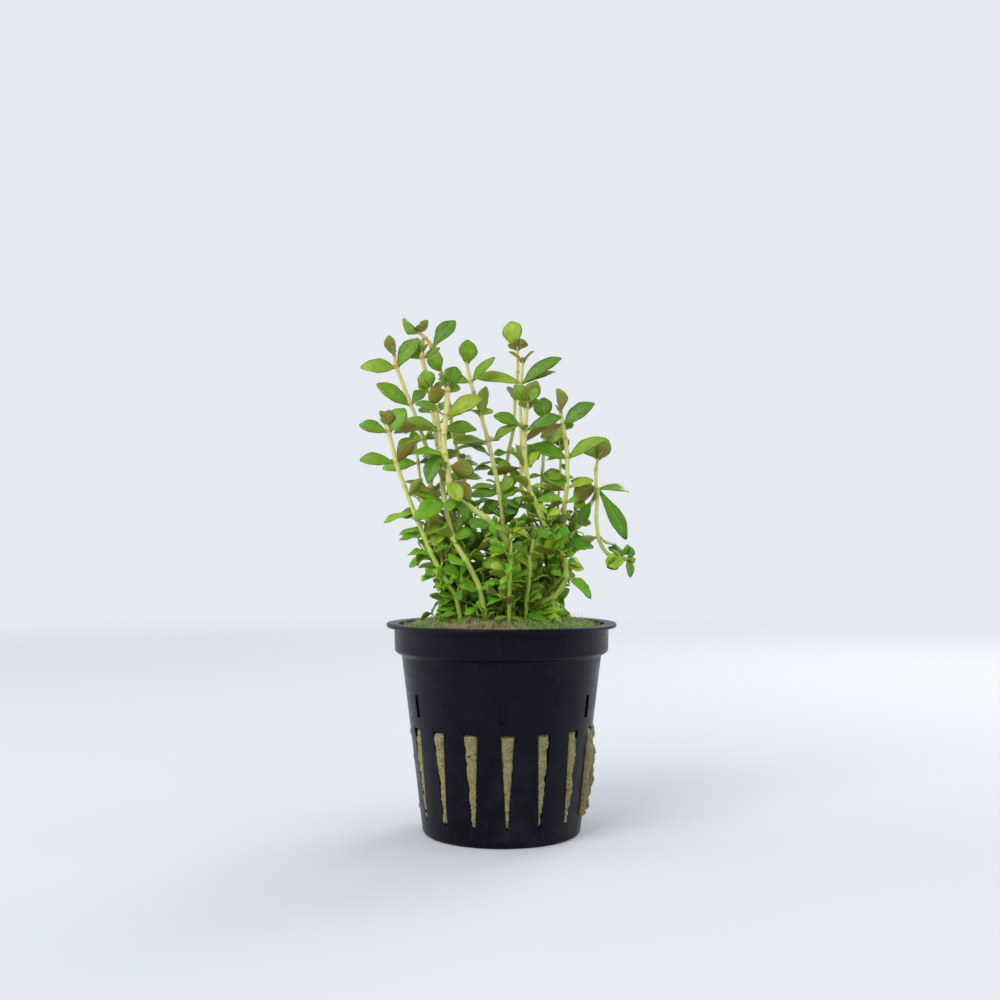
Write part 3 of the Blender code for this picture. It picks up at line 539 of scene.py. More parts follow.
felt, tree, shader = finish("rock wool")
place = object_place(tree)
lying = object_place(tree, (1.0, 1.0, 3.2))
height = add(tree, "SeparateXYZ", {"Vector": place}).outputs["Z"]
fibre = cloudy(tree, lying, 1.6, 6, 0.7)
patch = cloudy(tree, place, 0.22, 3)
fluff = cloudy(tree, place, 4.5, 3, 0.7)
straw = mixed(tree, spread(tree, fibre, 0.34, 0.66), (0.16, 0.13, 0.045, 1), (0.46, 0.42, 0.2, 1))
straw = mixed(tree, spread(tree, patch, 0.52, 0.75), straw, (0.24, 0.26, 0.1, 1))
# Painted shade: near-black cracks in the wool, where shade falls between the fibres.
painted_crack_shade = cloudy(tree, object_place(tree, (1.0, 1.0, 1.5)), 0.42, 4, 0.65)
straw = mixed(tree, spread(tree, painted_crack_shade, 0.4, 0.31, 0.0, 0.85), straw, (0.03, 0.026, 0.012, 1))
algae = mixed(tree, spread(tree, fluff, 0.3, 0.7), (0.07, 0.11, 0.025, 1), (0.22, 0.3, 0.08, 1))
algae = mixed(tree, spread(tree, summed(tree, "ADD", patch, middle_of_mound(tree)), 0.5, 0.75), algae, (0.22, 0.17, 0.07, 1))
on_top = spread(tree, height, WOOL_EDGE - 3, WOOL_EDGE + 0.4)
tree.links.new(mixed(tree, on_top, straw, algae), shader.inputs["Base Color"])
shader.inputs["Roughness"].default_value = 0.95
shader.inputs["Specular IOR Level"].default_value = 0.2
bumped(tree, shader, summed(tree, "ADD", fibre, summed(tree, "MULTIPLY", fluff, 0.5)), 0.5, 0.9)
piece(as_object("wool_plug", wool_mesh, [felt]), "rock_wool", "rock_wool")

# %% [markdown]
# Loose fibres give wool and algae their soft outline. One fibre is a three-sided spike with one
# bend. A few different tufts of fibres are made once, and copies of them, turned and scaled,
# are joined into one mesh, as one would scatter them by hand.

# %% One tuft of fibres


def fibre_spike(mesh, root, lean, length, girth, tone):
    """A thin spike from a root that bends over once, with its tone kept on its points."""
    spike = bmesh.ops.create_cone(
        mesh, segments=3, radius1=girth, radius2=girth * 0.8, depth=length / 2, cap_ends=True
    )["verts"]
    bmesh.ops.translate(mesh, vec=(0, 0, length / 4), verts=spike)
    top = max((face for vert in spike for face in vert.link_faces), key=lambda f: f.calc_center_median().z)
    top = bmesh.ops.extrude_discrete_faces(mesh, faces=[top])["faces"][0]
    centre = top.calc_center_median()
    for vert in top.verts:
        vert.co = centre + (vert.co - centre) * 0.3 + Vector((0, 0, length / 2))
    verts = {*spike, *top.verts}
    for vert in verts:
        share = vert.co.z / length
        vert.co.x += lean.x * length * share * share
        vert.co.y += lean.y * length * share * share
        vert.co.z *= 1 - 0.35 * lean.length * share
        vert.co += root
        vert[tone_layer(mesh)] = tone


def tone_layer(mesh):
    """The layer of four numbers on each point that tells a finish how a piece varies."""
    found = mesh.verts.layers.float_color.get("tone")
    return found or mesh.verts.layers.float_color.new("tone")


def tuft(name, chance, count, radius, lengths, girth, lean, material):
    """A mesh of fibres that stand on a small disc."""
    mesh = bmesh.new()
    tone_layer(mesh)
    for _ in range(count):
        angle = chance.uniform(0, math.tau)
        out = radius * math.sqrt(chance.random())
        root = Vector((math.cos(angle) * out, math.sin(angle) * out, -0.15))
        fall = Vector((chance.gauss(0, lean), chance.gauss(0, lean)))
        tone = (chance.random(), chance.random(), chance.random(), 1)
        fibre_spike(mesh, root, fall, chance.uniform(*lengths), girth, tone)
    data = as_object(name, mesh, [material])
    return data


def scattered(name, kinds, places):
    """Copies of the kinds at the places, each (kind, matrix), joined into one object."""
    copies = []
    for number, matrix in places:
        copy = bpy.data.objects.new(name, kinds[number % len(kinds)].data.copy())
        copy.data.transform(matrix)
        scene.collection.objects.link(copy)
        copies.append(copy)
    with bpy.context.temp_override(
        active_object=copies[0], object=copies[0], selected_objects=copies, selected_editable_objects=copies
    ):
        bpy.ops.object.join()
    for kind in kinds:
        bpy.data.objects.remove(kind)
    copies[0].name = name
    return copies[0]


# %% [markdown]
# The fibres' finish takes each fibre's own tone, so that neighbours differ: on the mound from
# brown through straw to fresh green, in the slots only straw.

# %% Fibre finishes


def fibre_finish(name, dull, light, green):
    """A matt finish that mixes three colours by the tone of each fibre and by place."""
    material, tree, shader = finish(name)
    tone = add(tree, "SeparateColor", {"Color": add(tree, "Attribute", attribute_name="tone").outputs["Color"]})
    patch = cloudy(tree, object_place(tree), 0.2, 3)
    colour = mixed(tree, tone.outputs["Red"], dull, light)
    share = summed(tree, "ADD", summed(tree, "MULTIPLY", tone.outputs["Green"], 0.5), patch)
    share = summed(tree, "ADD", share, middle_of_mound(tree))
    colour = mixed(tree, spread(tree, share, 0.6, 0.95), green, colour)
    tree.links.new(colour, shader.inputs["Base Color"])
    shader.inputs["Roughness"].default_value = 0.8
    shader.inputs["Subsurface Weight"].default_value = 0.2
    shader.inputs["Subsurface Radius"].default_value = (0.3 * MM, 0.3 * MM, 0.15 * MM)
    shader.inputs["Subsurface Scale"].default_value = 1.0
    return material


algae_fibre = fibre_finish("algae fibre", (0.2, 0.16, 0.06, 1), (0.52, 0.46, 0.22, 1), (0.19, 0.33, 0.07, 1))
grass_fibre = fibre_finish("algae thread", (0.1, 0.22, 0.04, 1), (0.36, 0.5, 0.14, 1), (0.12, 0.34, 0.05, 1))
wool_fibre = fibre_finish("loose wool fibre", (0.28, 0.23, 0.08, 1), (0.56, 0.5, 0.24, 1), (0.3, 0.29, 0.1, 1))

# %% Scatter the algae on the mound
MOSS_TUFTS = 1150
chance = random.Random(5)
kinds = [tuft(f"moss_kind_{n}", chance, 7, 0.8, (0.7, 2.0), 0.065, 0.3, algae_fibre) for n in range(8)]
places = []
for number in range(MOSS_TUFTS):
    angle = chance.uniform(0, math.tau)
    out = (WOOL_RIM - 0.5) * math.sqrt(chance.random())
    foot = Vector((math.cos(angle) * out, math.sin(angle) * out))
    turn = Matrix.Rotation(chance.uniform(0, math.tau), 4, "Z")
    size = Matrix.Scale(chance.uniform(0.65, 1.25), 4)
    stand = Matrix.Translation(Vector((foot.x, foot.y, mound(foot.x, foot.y))) * MM)
    places.append((number, stand @ turn @ size))
piece(scattered("moss", kinds, places), "rock_wool")

# %% Longer threads at the edge of the mound
THREAD_TUFTS = 260
kinds = [tuft(f"thread_kind_{n}", chance, 5, 0.8, (1.4, 3.4), 0.07, 0.7, grass_fibre) for n in range(6)]
places = []
for number in range(THREAD_TUFTS):
    angle = math.radians(chance.gauss(-35, 38) if number % 3 else chance.uniform(0, 360))
    out = (WOOL_RIM - 0.6) * chance.uniform(0.5, 1.0)
    foot = Vector((math.cos(angle) * out, math.sin(angle) * out))
    turn = Matrix.Rotation(chance.uniform(0, math.tau), 4, "Z")
    size = Matrix.Scale(chance.uniform(0.5, 1.05), 4)
    stand = Matrix.Translation(Vector((foot.x, foot.y, mound(foot.x, foot.y))) * MM)
    places.append((number, stand @ turn @ size))
piece(scattered("threads", kinds, places), "rock_wool")

# %% Scatter wool fibres in the slots
kinds = [tuft(f"fluff_kind_{n}", chance, 7, 0.8, (0.35, 1.0), 0.045, 0.8, wool_fibre) for n in range(6)]
places = []
for slot in range(SLOT_COUNT):
    angle = math.radians(SLOT_FIRST - 90 + 360 / SLOT_COUNT * slot)
    for _ in range(22):
        height = chance.triangular(SLOT_BOTTOM + 3, SLOT_TOP - 0.8, SLOT_TOP - 3)
        off = chance.uniform(-0.25, 0.25) * SLOT_TOP_WIDTH * height / SLOT_TOP / body_radius(height)
        out = body_radius(height) - WALL - GAP + bulge(angle + off, height) - 0.25
        turn = Matrix.Rotation(angle + off, 4, "Z") @ Matrix.Rotation(math.radians(90), 4, "Y")
        foot = Vector((math.cos(angle + off) * out, math.sin(angle + off) * out, height)) * MM
        squeeze = Matrix.Diagonal((1, 0.35 + 0.3 * height / SLOT_TOP, 1, 1))
        places.append((chance.randrange(6), Matrix.Translation(foot) @ turn @ squeeze))
piece(scattered("wool_fluff", kinds, places), "rock_wool")

# %% [markdown]
# A rotala's stem is a thin green rod with a pair of leaves at each node. Each shoot below is
# given by the places of its nodes, from its root to its growing tip, and by its leaves' tips.
# These are the same places as the solid's, so the grown shoot covers the solid one.

# %% How a shoot is described
TOWARDS_VIEWER = Vector((0, -1, 0))


def root(across, back):
    """Where a shoot's stem meets the wool."""
    return Vector((across, back, wool_top(across, back) + GAP)), []


def node(across, up, back, *leaves):
    """A place on a stem, as the photograph shows it, with the leaves that grow there.

    across and up are measured at the cup's axis, so a place further back lies further out.
    """
    spread = 1 + back / EYE_DISTANCE
    return Vector((across * spread, back, EYE_HEIGHT + (up - EYE_HEIGHT) * spread)), list(leaves)


def leaf(across, up, back, width, lean=0):
    """A leaf by where its tip is from its node, its width, and how far it faces the viewer."""
    return Vector((across, back, up)), width, lean


def pair(turn, length, width, rise=25):
    """Two opposite leaves, the first pointing to the right turned away by turn."""
    out, up = length * math.cos(math.radians(rise)), length * math.sin(math.radians(rise))
    along, away = out * math.cos(math.radians(turn)), out * math.sin(math.radians(turn))
    return leaf(along, up, away, width), leaf(-along, up, -away, width)


# %% The shoots' names, radii and nodes
SHOOTS = (
    ("shoot_far_left", 0.60, (
        root(-8.6, -0.6),
        node(-10.4, 55.4, -0.6, *pair(70, 5.0, 2.2)),
        node(-12.6, 60.6, -0.4, *pair(160, 5.4, 2.4)),
        node(-14.3, 65.0, 0.0, *pair(80, 6.0, 2.6)),
        node(-16.2, 69.9, 0.6, *pair(10, 6.4, 3.0)),
        node(-17.4, 75.2, 1.2, *pair(100, 6.6, 3.0)),
        node(-17.2, 81.2, 1.8, *pair(20, 6.6, 3.0)),
        node(-16.8, 87.4, 2.2, *pair(110, 7.0, 3.2)),
        node(-18.7, 93.9, 2.0, leaf(3.9, 1.2, 0.6, 2.2, 30), leaf(-3.4, -0.4, 2.6, 2.6, 20)),
        node(-21.8, 102.3, 1.6,
             leaf(-8.4, 4.4, -1.0, 3.4, 50), leaf(0.9, 5.9, -2.0, 3.2, -60), leaf(3.4, 3.6, 1.8, 2.8, 30)),
        node(-25.2, 111.2, 1.2, leaf(-8.6, -0.2, -1.0, 3.2, 50), leaf(5.0, 7.4, 1.5, 3.5, 60)),
        node(-25.7, 114.0, 1.2, leaf(-1.3, 4.7, -0.9, 2.7, -60), leaf(1.3, 4.7, 0.9, 2.7, 60)),
    )),
    ("shoot_left", 0.58, (
        root(-9.2, -7.0),
        node(-10.9, 56.0, -7.2, leaf(-3.9, 0.8, -1.5, 1.9, 30), leaf(-4.1, -2.0, 1.2, 1.6, 20)),
        node(-13.0, 59.4, -7.2, leaf(-2.4, -1.0, -3.0, 2.6, 30), leaf(2.4, 1.4, -2.6, 2.6, 20)),
        node(-14.7, 62.4, -7.0,
             leaf(-4.4, -2.4, -1.0, 1.9, 30), leaf(4.7, -0.6, -1.6, 2.8, 50), leaf(-3.8, -0.4, 2.2, 1.7)),
        node(-16.9, 66.6, -6.6,
             leaf(-5.5, 0.0, -1.2, 2.0, 30), leaf(4.2, 1.8, -2.0, 2.0, 20), leaf(-5.2, -3.6, 1.4, 2.1, 30)),
        node(-18.6, 70.7, -6.0, leaf(-5.7, -1.0, -1.6, 1.9, 20), leaf(-6.6, 0.6, 1.6, 1.7, 20)),
        node(-20.9, 76.2, -5.6,
             leaf(-7.2, -2.2, -1.0, 2.1, 20), leaf(2.4, -0.8, -3.0, 3.2, 40), leaf(-4.0, 3.8, 1.6, 4.2, 60)),
        node(-23.3, 82.6, -5.6),
        node(-25.3, 88.4, -5.6,
             leaf(-8.5, 0.6, -1.0, 2.8, 50), leaf(4.9, 5.2, -1.8, 2.4, -30), leaf(3.6, 7.6, 1.4, 3.5, 60)),
        node(-27.1, 95.7, -5.8, leaf(-6.8, 1.7, -1.0, 2.8, 50), leaf(3.9, 5.6, 1.0, 4.0, 60)),
        node(-27.8, 97.4, -5.8, leaf(-1.3, 3.5, 0.9, 2.4, 60), leaf(0.8, 3.6, -0.9, 2.5, -60)),
    )),
    ("shoot_left_back", 0.42, (
        root(-10.2, 6.4),
        node(-12.4, 58.4, 6.4, *pair(30, 5.0, 2.2)),
        node(-15.4, 65.3, 6.2, *pair(120, 5.6, 2.6)),
        node(-17.6, 72.4, 6.0, *pair(40, 6.0, 2.8)),
        node(-18.8, 78.2, 5.8, *pair(130, 6.2, 2.8)),
        node(-19.3, 82.6, 5.8),
        node(-20.0, 88.2, 5.6, leaf(-8.9, -1.0, 1.0, 3.0, 50), leaf(3.5, 0.5, 1.0, 2.0, 20)),
        node(-20.6, 92.4, 5.6, leaf(-0.8, 3.6, 1.0, 2.0), leaf(1.4, 3.4, -0.8, 2.0)),
    )),
    ("shoot_centre_left", 0.66, (
        root(-3.4, -10.0),
        node(-5.2, 57.9, -9.8, leaf(-4.3, 1.0, -2.0, 3.0, 40), leaf(3.6, 1.4, -2.6, 2.8, 20)),
        node(-8.5, 64.7, -8.8, leaf(-3.6, -0.4, -3.6, 4.3, 40), leaf(3.4, 2.0, 2.8, 3.0)),
        node(-11.6, 70.4, -7.0, leaf(4.4, 0.6, -2.8, 3.6, 30), leaf(-3.6, 1.6, -2.6, 3.0, 20)),
        node(-13.6, 78.8, -3.9,
             leaf(-8.2, -6.4, -2.5, 4.0, 50), leaf(-8.2, 2.9, 0.6, 2.4, 20), leaf(3.0, 1.0, 3.6, 3.0)),
        node(-14.1, 83.0, -2.0),
        node(-14.6, 88.4, 0.2, *pair(80, 6.0, 3.0)),
        node(-15.3, 92.5, 1.4),
        node(-16.4, 100.4, 2.4, leaf(3.2, 1.9, 1.6, 2.2, 20), leaf(-3.4, 1.4, 3.0, 2.6, 20)),
        node(-18.0, 109.0, 2.0),
        node(-19.0, 113.3, 1.8, leaf(-3.0, 1.9, 1.6, 3.0, 30), leaf(4.3, 2.6, 1.0, 2.0, 20)),
        node(-19.0, 114.6, 1.8, leaf(0.4, 3.8, 0.9, 3.0, 60), leaf(-0.6, 3.0, -0.9, 2.3, -60)),
    )),
    ("shoot_fork_left", 0.55, (
        root(-5.6, 2.6),
        node(-8.0, 62.0, 1.6, *pair(60, 5.4, 2.6)),
        node(-10.2, 69.7, 0.2, *pair(150, 5.8, 2.8)),
        node(-11.6, 76.9, -1.6, *pair(50, 6.0, 2.8)),
        node(-12.6, 82.9, -3.9),
        node(-13.7, 88.6, -3.2),
        node(-14.5, 91.8, -2.4),
        node(-14.9, 95.8, -1.8, leaf(-8.4, -0.4, -1.0, 3.4, 15), leaf(8.9, 0.6, 1.2, 3.6, 35)),
        node(-15.6, 100.6, -1.5),
        node(-16.9, 105.2, -1.6, leaf(3.4, 2.9, 1.5, 1.8, 20), leaf(-3.0, 2.4, 1.6, 2.4, 20)),
        node(-17.0, 106.2, -1.6, leaf(-1.4, 4.2, 1.0, 3.7, 70), leaf(0.8, 2.6, -0.9, 2.2, -60)),
    )),
    ("shoot_back_left", 0.56, (
        root(-2.6, 9.6),
        node(-4.6, 60.0, 9.8, *pair(30, 5.2, 2.6)),
        node(-6.2, 68.0, 9.8, *pair(120, 5.8, 2.8)),
        node(-7.6, 77.2, 9.6, *pair(20, 6.2, 2.8)),
        node(-9.1, 84.3, 9.4, leaf(-4.5, 0.8, 1.6, 2.4, 20), leaf(4.6, 0.6, 1.4, 2.4, 20)),
        node(-10.3, 90.1, 9.2, leaf(3.0, -1.5, -2.2, 2.8, -30), leaf(-2.8, -0.4, 2.4, 2.4, 20)),
        node(-11.8, 95.9, 9.2, leaf(2.9, -2.9, -1.2, 2.6, 30), leaf(-1.9, -1.4, 2.0, 2.2, 20)),
        node(-12.4, 101.8, 9.2, leaf(4.8, -1.4, -1.4, 2.4, 30), leaf(-2.6, 1.4, 3.2, 2.8)),
        node(-14.3, 109.5, 9.6),
        node(-16.7, 115.9, 10.0, leaf(5.6, 7.0, 2.4, 3.8, 60), leaf(1.9, -6.2, -2.2, 3.3, 40)),
        node(-18.1, 118.0, 10.0),
        node(-19.7, 119.4, 10.0,
             leaf(-4.2, 3.6, 1.2, 3.6, 65), leaf(2.0, 3.4, 0.8, 2.0, -60), leaf(0.3, 2.2, -1.0, 1.6, -60)),
    )),
    ("shoot_front", 0.72, (
        root(2.6, -7.4),
        node(2.8, 57.7, -7.0, leaf(-4.2, 1.6, -2.6, 3.0, 20), leaf(4.0, 1.4, -2.8, 3.0, 20)),
        node(2.9, 63.4, -6.9, leaf(1.0, -3.2, -3.4, 3.0, 30), leaf(-3.0, 2.0, 3.0, 3.0)),
        node(1.8, 68.2, -6.8, leaf(3.6, -1.0, -2.0, 2.8, 30), leaf(-4.4, -1.2, -2.4, 3.2, 30)),
        node(-0.6, 71.8, -6.6),
        node(-3.7, 74.9, -6.6, leaf(-3.4, -2.2, -2.6, 3.8, 40), leaf(1.4, -4.4, 1.6, 2.6, 20)),
        node(-7.6, 77.6, -6.6),
        node(-10.9, 80.0, -6.6, leaf(3.4, -5.4, -1.6, 2.0, 30), leaf(-1.8, -3.4, -3.0, 2.6, 30)),
        node(-12.5, 83.6, -6.6, leaf(0.5, -5.3, -3.4, 3.3, 40), leaf(5.0, -4.2, 0.6, 3.8, -45)),
        node(-12.8, 87.2, -6.4, leaf(6.2, -1.0, 0.6, 3.9, -50), leaf(-2.0, 1.0, -3.0, 2.0, 20)),
        node(-13.6, 90.3, -6.4,
             leaf(-8.5, 0.2, 0.8, 3.0, 10), leaf(-3.4, -6.6, -3.4, 4.6, 45)),
        node(-13.8, 94.9, -6.2),
        node(-13.3, 99.7, -6.2, leaf(-7.2, 2.6, -1.0, 3.2, 15), leaf(8.5, 3.7, -1.5, 3.8, 50)),
        node(-13.0, 105.2, -6.2, leaf(-4.4, -2.0, -2.0, 3.8, -60), leaf(2.6, 2.0, 2.4, 2.4, 30)),
        node(-13.0, 106.4, -6.2, leaf(1.9, 5.0, 1.0, 3.6, 70), leaf(-1.4, 3.4, -0.9, 2.2, 40)),
    )),
    ("shoot_centre", 0.58, (
        root(0.8, 1.4),
        node(0.8, 57.8, 1.4, *pair(20, 5.4, 2.8)),
        node(0.7, 63.8, 1.4, *pair(110, 5.8, 2.8)),
        node(0.6, 69.8, 1.3, *pair(30, 6.0, 3.0)),
        node(0.2, 75.2, 1.2, leaf(-3.4, 2.4, -1.0, 2.2, 20), leaf(5.0, 4.8, -1.0, 2.6, 30)),
        node(-0.5, 81.0, 1.0, leaf(-7.2, -0.6, -1.0, 2.6, 30), leaf(3.4, 3.7, -0.6, 3.0, 40)),
        node(-1.7, 87.0, 1.0, leaf(-5.0, -0.2, 1.0, 1.9, 20), leaf(3.9, 1.0, -1.0, 2.0, 20)),
        node(-3.2, 93.4, 1.0, leaf(-8.4, -0.4, -1.0, 3.2, 20), leaf(2.2, 0.8, 4.0, 2.8)),
        node(-4.9, 99.7, 1.0,
             leaf(2.9, 1.4, 1.5, 2.2, 20), leaf(-3.2, 1.0, -0.8, 2.7, 30), leaf(-0.2, 7.0, -2.0, 2.8)),
        node(-6.6, 105.0, 0.8),
        node(-7.4, 107.7, 0.8, leaf(-7.9, 1.2, 1.8, 2.8, 30), leaf(6.0, 5.6, -0.8, 2.6, 35)),
        node(-8.4, 112.2, 0.8, leaf(0.2, 5.7, 0.9, 3.9, 75), leaf(-2.6, 2.0, -0.9, 2.8, -60)),
    )),
    ("shoot_tallest", 0.50, (
        root(2.6, 7.6),
        node(2.2, 60.0, 7.6, *pair(70, 5.4, 2.6)),
        node(1.4, 67.5, 7.6, *pair(160, 5.8, 2.8)),
        node(0.6, 75.0, 7.4, *pair(75, 6.0, 2.8)),
        node(0.6, 82.2, 7.0, *pair(165, 5.0, 2.4)),
        node(1.7, 90.7, 6.4, leaf(-3.6, -0.4, -1.0, 2.0, 20), leaf(2.6, 0.2, 2.6, 2.6, 20)),
        node(2.8, 96.3, 5.8),
        node(3.3, 103.5, 5.2, *pair(80, 5.6, 2.8)),
        node(3.9, 110.0, 4.7),
        node(3.8, 116.0, 4.5,
             leaf(-1.4, 6.6, 1.0, 4.2, 70), leaf(0.6, 2.4, -1.0, 1.9, -60), leaf(2.3, 1.4, 0.6, 1.2)),
    )),
    ("shoot_middle_back", 0.50, (
        root(8.4, 3.8),
        node(8.6, 58.9, 3.6, *pair(40, 5.4, 2.6)),
        node(8.4, 64.9, 3.4, *pair(130, 5.6, 2.8)),
        node(7.8, 71.0, 3.2, leaf(-6.2, 2.6, -1.0, 2.0, 20), leaf(3.4, 1.4, 3.4, 2.8)),
        node(6.6, 76.2, 2.9),
        node(5.6, 79.6, 2.7, leaf(-5.6, -6.8, -1.8, 2.7, -50), leaf(2.8, 1.6, 3.2, 2.6)),
        node(4.8, 82.8, 2.5),
        node(4.8, 87.0, 2.3, leaf(-8.4, -1.6, -1.0, 2.4, -35), leaf(2.4, 0.8, 4.0, 2.6)),
        node(4.8, 92.2, 2.2),
        node(4.7, 97.5, 2.1, leaf(-6.6, 2.2, -0.8, 2.8, 45), leaf(-6.8, -3.6, 0.8, 2.4, 25)),
        node(4.4, 103.3, 2.1),
        node(4.7, 107.4, 2.2,
             leaf(-11.2, 1.6, -0.5, 3.0, 35), leaf(9.6, 6.5, 0.8, 3.2, 40), leaf(8.8, 3.2, -1.4, 2.3, 20)),
        node(5.1, 112.2, 2.4,
             leaf(2.9, 3.0, 0.8, 3.2), leaf(-3.2, 3.0, 0.6, 1.3), leaf(1.0, 1.9, -1.2, 1.7)),
    )),
    ("shoot_middle", 0.70, (
        root(6.8, -5.6),
        node(9.2, 54.3, -5.4),
        node(12.2, 55.8, -5.1, leaf(0.6, -2.6, -2.6, 2.2, 20), leaf(-1.4, 3.0, 2.0, 2.4)),
        node(14.4, 58.2, -4.7),
        node(15.4, 61.0, -4.4, leaf(6.2, -5.0, -1.0, 2.6, 30), leaf(-3.6, 1.0, -2.2, 2.6, 20)),
        node(15.2, 64.6, -4.0, leaf(4.1, -1.4, 1.2, 2.6, 30), leaf(-3.2, 2.2, -1.4, 2.6, 20)),
        node(13.3, 67.9, -3.7, leaf(-7.4, -2.3, -1.8, 3.0, -45), leaf(3.0, 1.8, 2.6, 2.6)),
        node(11.4, 71.6, -3.3, leaf(-3.4, -0.8, -2.0, 2.2, 20), leaf(2.6, 0.8, -3.0, 2.4, 20)),
        node(9.5, 75.6, -3.1),
        node(8.0, 79.0, -3.0, leaf(6.5, 0.6, -0.8, 2.5, 25), leaf(-3.2, 0.8, -2.6, 2.8, 20)),
        node(6.6, 82.4, -3.0, leaf(4.1, -0.2, 0.8, 2.0, 10), leaf(-2.8, 3.4, -1.4, 3.0, 20)),
        node(5.8, 87.3, -3.0, leaf(3.1, 3.8, 1.2, 2.2, 30), leaf(-2.8, 4.2, -1.0, 2.8, 20)),
        node(5.5, 91.8, -3.0),
        node(5.6, 96.1, -3.0, leaf(8.5, 3.4, -0.8, 2.8, 45), leaf(-1.4, 0.8, -4.4, 2.8)),
        node(6.0, 101.4, -3.0, leaf(2.9, 2.4, 1.5, 2.4, 10), leaf(-1.6, 1.4, -2.2, 1.7)),
        node(6.0, 102.7, -3.0, leaf(-2.7, 4.4, 0.9, 3.0, 60), leaf(2.3, 5.1, -0.9, 3.3, -65)),
    )),
    ("shoot_right", 0.60, (
        root(10.6, -0.2),
        node(12.1, 60.6, -0.2, *pair(30, 5.4, 2.6)),
        node(13.5, 65.6, -0.2, *pair(120, 5.6, 2.6)),
        node(14.2, 69.4, 0.0, leaf(8.1, -1.0, -1.4, 3.0, 45), leaf(-3.8, 1.4, 2.6, 2.6)),
        node(14.8, 73.6, 0.2, *pair(100, 5.8, 2.8)),
        node(15.2, 78.8, 0.4, leaf(-4.3, -1.7, -1.2, 2.2, -20), leaf(2.6, 0.2, -3.0, 2.4, 20)),
        node(15.7, 82.4, 0.4, leaf(-5.3, 3.6, 0.6, 3.4, 45), leaf(6.4, 1.4, -0.8, 2.7, 25)),
        node(15.8, 89.4, 0.4, leaf(9.2, 5.0, -1.2, 3.0, 35), leaf(-9.0, 2.8, -0.8, 3.4, 40)),
        node(15.3, 94.0, 0.3),
        node(14.7, 97.5, 0.2,
             leaf(7.5, 5.2, -0.6, 3.5, 60), leaf(-5.2, -3.6, -1.4, 2.7, -30), leaf(-3.4, -4.2, 3.0, 3.4, 30)),
        node(14.2, 100.4, 0.2, leaf(-0.7, 5.6, -1.0, 3.6, -70), leaf(0.8, 4.4, 1.0, 2.8, 50)),
    )),
    ("shoot_back_right", 0.50, (
        root(5.4, 11.6),
        node(7.6, 59.0, 11.2, *pair(60, 5.2, 2.6)),
        node(9.3, 67.0, 10.4, *pair(150, 5.8, 2.8)),
        node(9.6, 74.6, 9.6, *pair(60, 6.0, 2.8)),
        node(9.6, 80.4, 9.0, *pair(150, 5.4, 2.6)),
        node(9.8, 85.3, 8.6, leaf(-3.3, -0.8, -1.0, 1.6, 10), leaf(3.0, 1.0, 3.0, 2.6)),
        node(10.1, 90.6, 8.2),
        node(10.4, 95.6, 8.0, leaf(-2.8, 0.6, 3.0, 2.6), leaf(3.2, 1.6, 2.6, 2.8)),
        node(10.6, 99.0, 8.0, leaf(-0.9, 5.1, 1.2, 4.0, 60), leaf(0.9, 3.4, -1.2, 2.2, -50)),
    )),
    ("shoot_back_thin", 0.36, (
        root(11.4, 10.6),
        node(12.8, 64.9, 12.0, *pair(30, 5.0, 2.4)),
        node(13.4, 74.5, 12.8, *pair(120, 5.0, 2.4)),
        node(13.9, 83.0, 13.2, *pair(40, 5.0, 2.4)),
        node(14.2, 89.4, 13.2, leaf(-3.3, -0.4, -0.6, 1.6, 10), leaf(2.6, 1.0, 1.8, 2.0)),
        node(13.8, 92.6, 13.2, leaf(-2.2, 2.8, 0.9, 2.8, 20), leaf(1.9, 1.8, -0.9, 2.0)),
    )),
    ("shoot_far_right", 0.50, (
        root(12.8, 4.8),
        node(13.0, 58.9, 4.6, *pair(80, 5.2, 2.6)),
        node(14.4, 65.9, 4.4, *pair(10, 5.4, 2.6)),
        node(16.9, 71.4, 3.9, *pair(100, 5.4, 2.6)),
        node(19.8, 75.8, 3.4),
        node(22.0, 79.4, 3.0),
        node(22.7, 82.0, 2.8,
             leaf(7.5, -12.4, 0.9, 3.7, 35), leaf(-5.8, -3.0, -1.4, 4.2, -50), leaf(8.3, -0.2, 2.0, 2.4, 20)),
        node(22.7, 86.5, 2.8),
        node(23.2, 89.2, 2.8,
             leaf(2.4, 4.6, -1.0, 3.0, -60), leaf(-2.6, 5.2, 0.9, 3.6, 65), leaf(-0.9, 3.0, -1.6, 2.8, -60),
             leaf(0.9, 6.8, 1.4, 3.8, 70)),
    )),
    ("shoot_far_right_hanging", 0.45, (
        node(23.1, 80.6, 1.5),
        node(22.8, 75.2, 1.4),
        node(23.3, 70.4, 1.3, leaf(3.7, -2.6, -0.6, 2.2, 10), leaf(-4.0, 0.2, 0.9, 2.2, -20)),
        node(24.2, 68.0, 1.3),
        node(25.5, 66.4, 1.2),
        node(27.1, 65.8, 1.1),
        node(28.7, 65.6, 1.0, leaf(1.6, 3.0, -1.2, 3.0, 30), leaf(-3.4, -2.6, -1.0, 2.6, 40)),
        node(30.2, 65.2, 1.0, leaf(0.8, -4.6, 0.5, 2.1, 30), leaf(1.4, 2.8, 1.0, 2.4, 20)),
    )),
)
print(len(SHOOTS), "shoots described")

# %% [markdown]
# Seven short shoots make the thicket at the foot. They were placed by seeded chance, each tried
# until it stood clear of the others. The same tries are made here, and the try that stands where
# the solid stands is the one that counts.

# %% The low shoots
LOW_COUNT = 7
LOW_ROOT_RADIUS = 12.5
LOW_TRIES = 40
LOW_GIRTH = 0.45
LOW_FIRST_NODE = 54.5
MATCH = 0.03  # how near a point must be to a solid's corner to be the same point


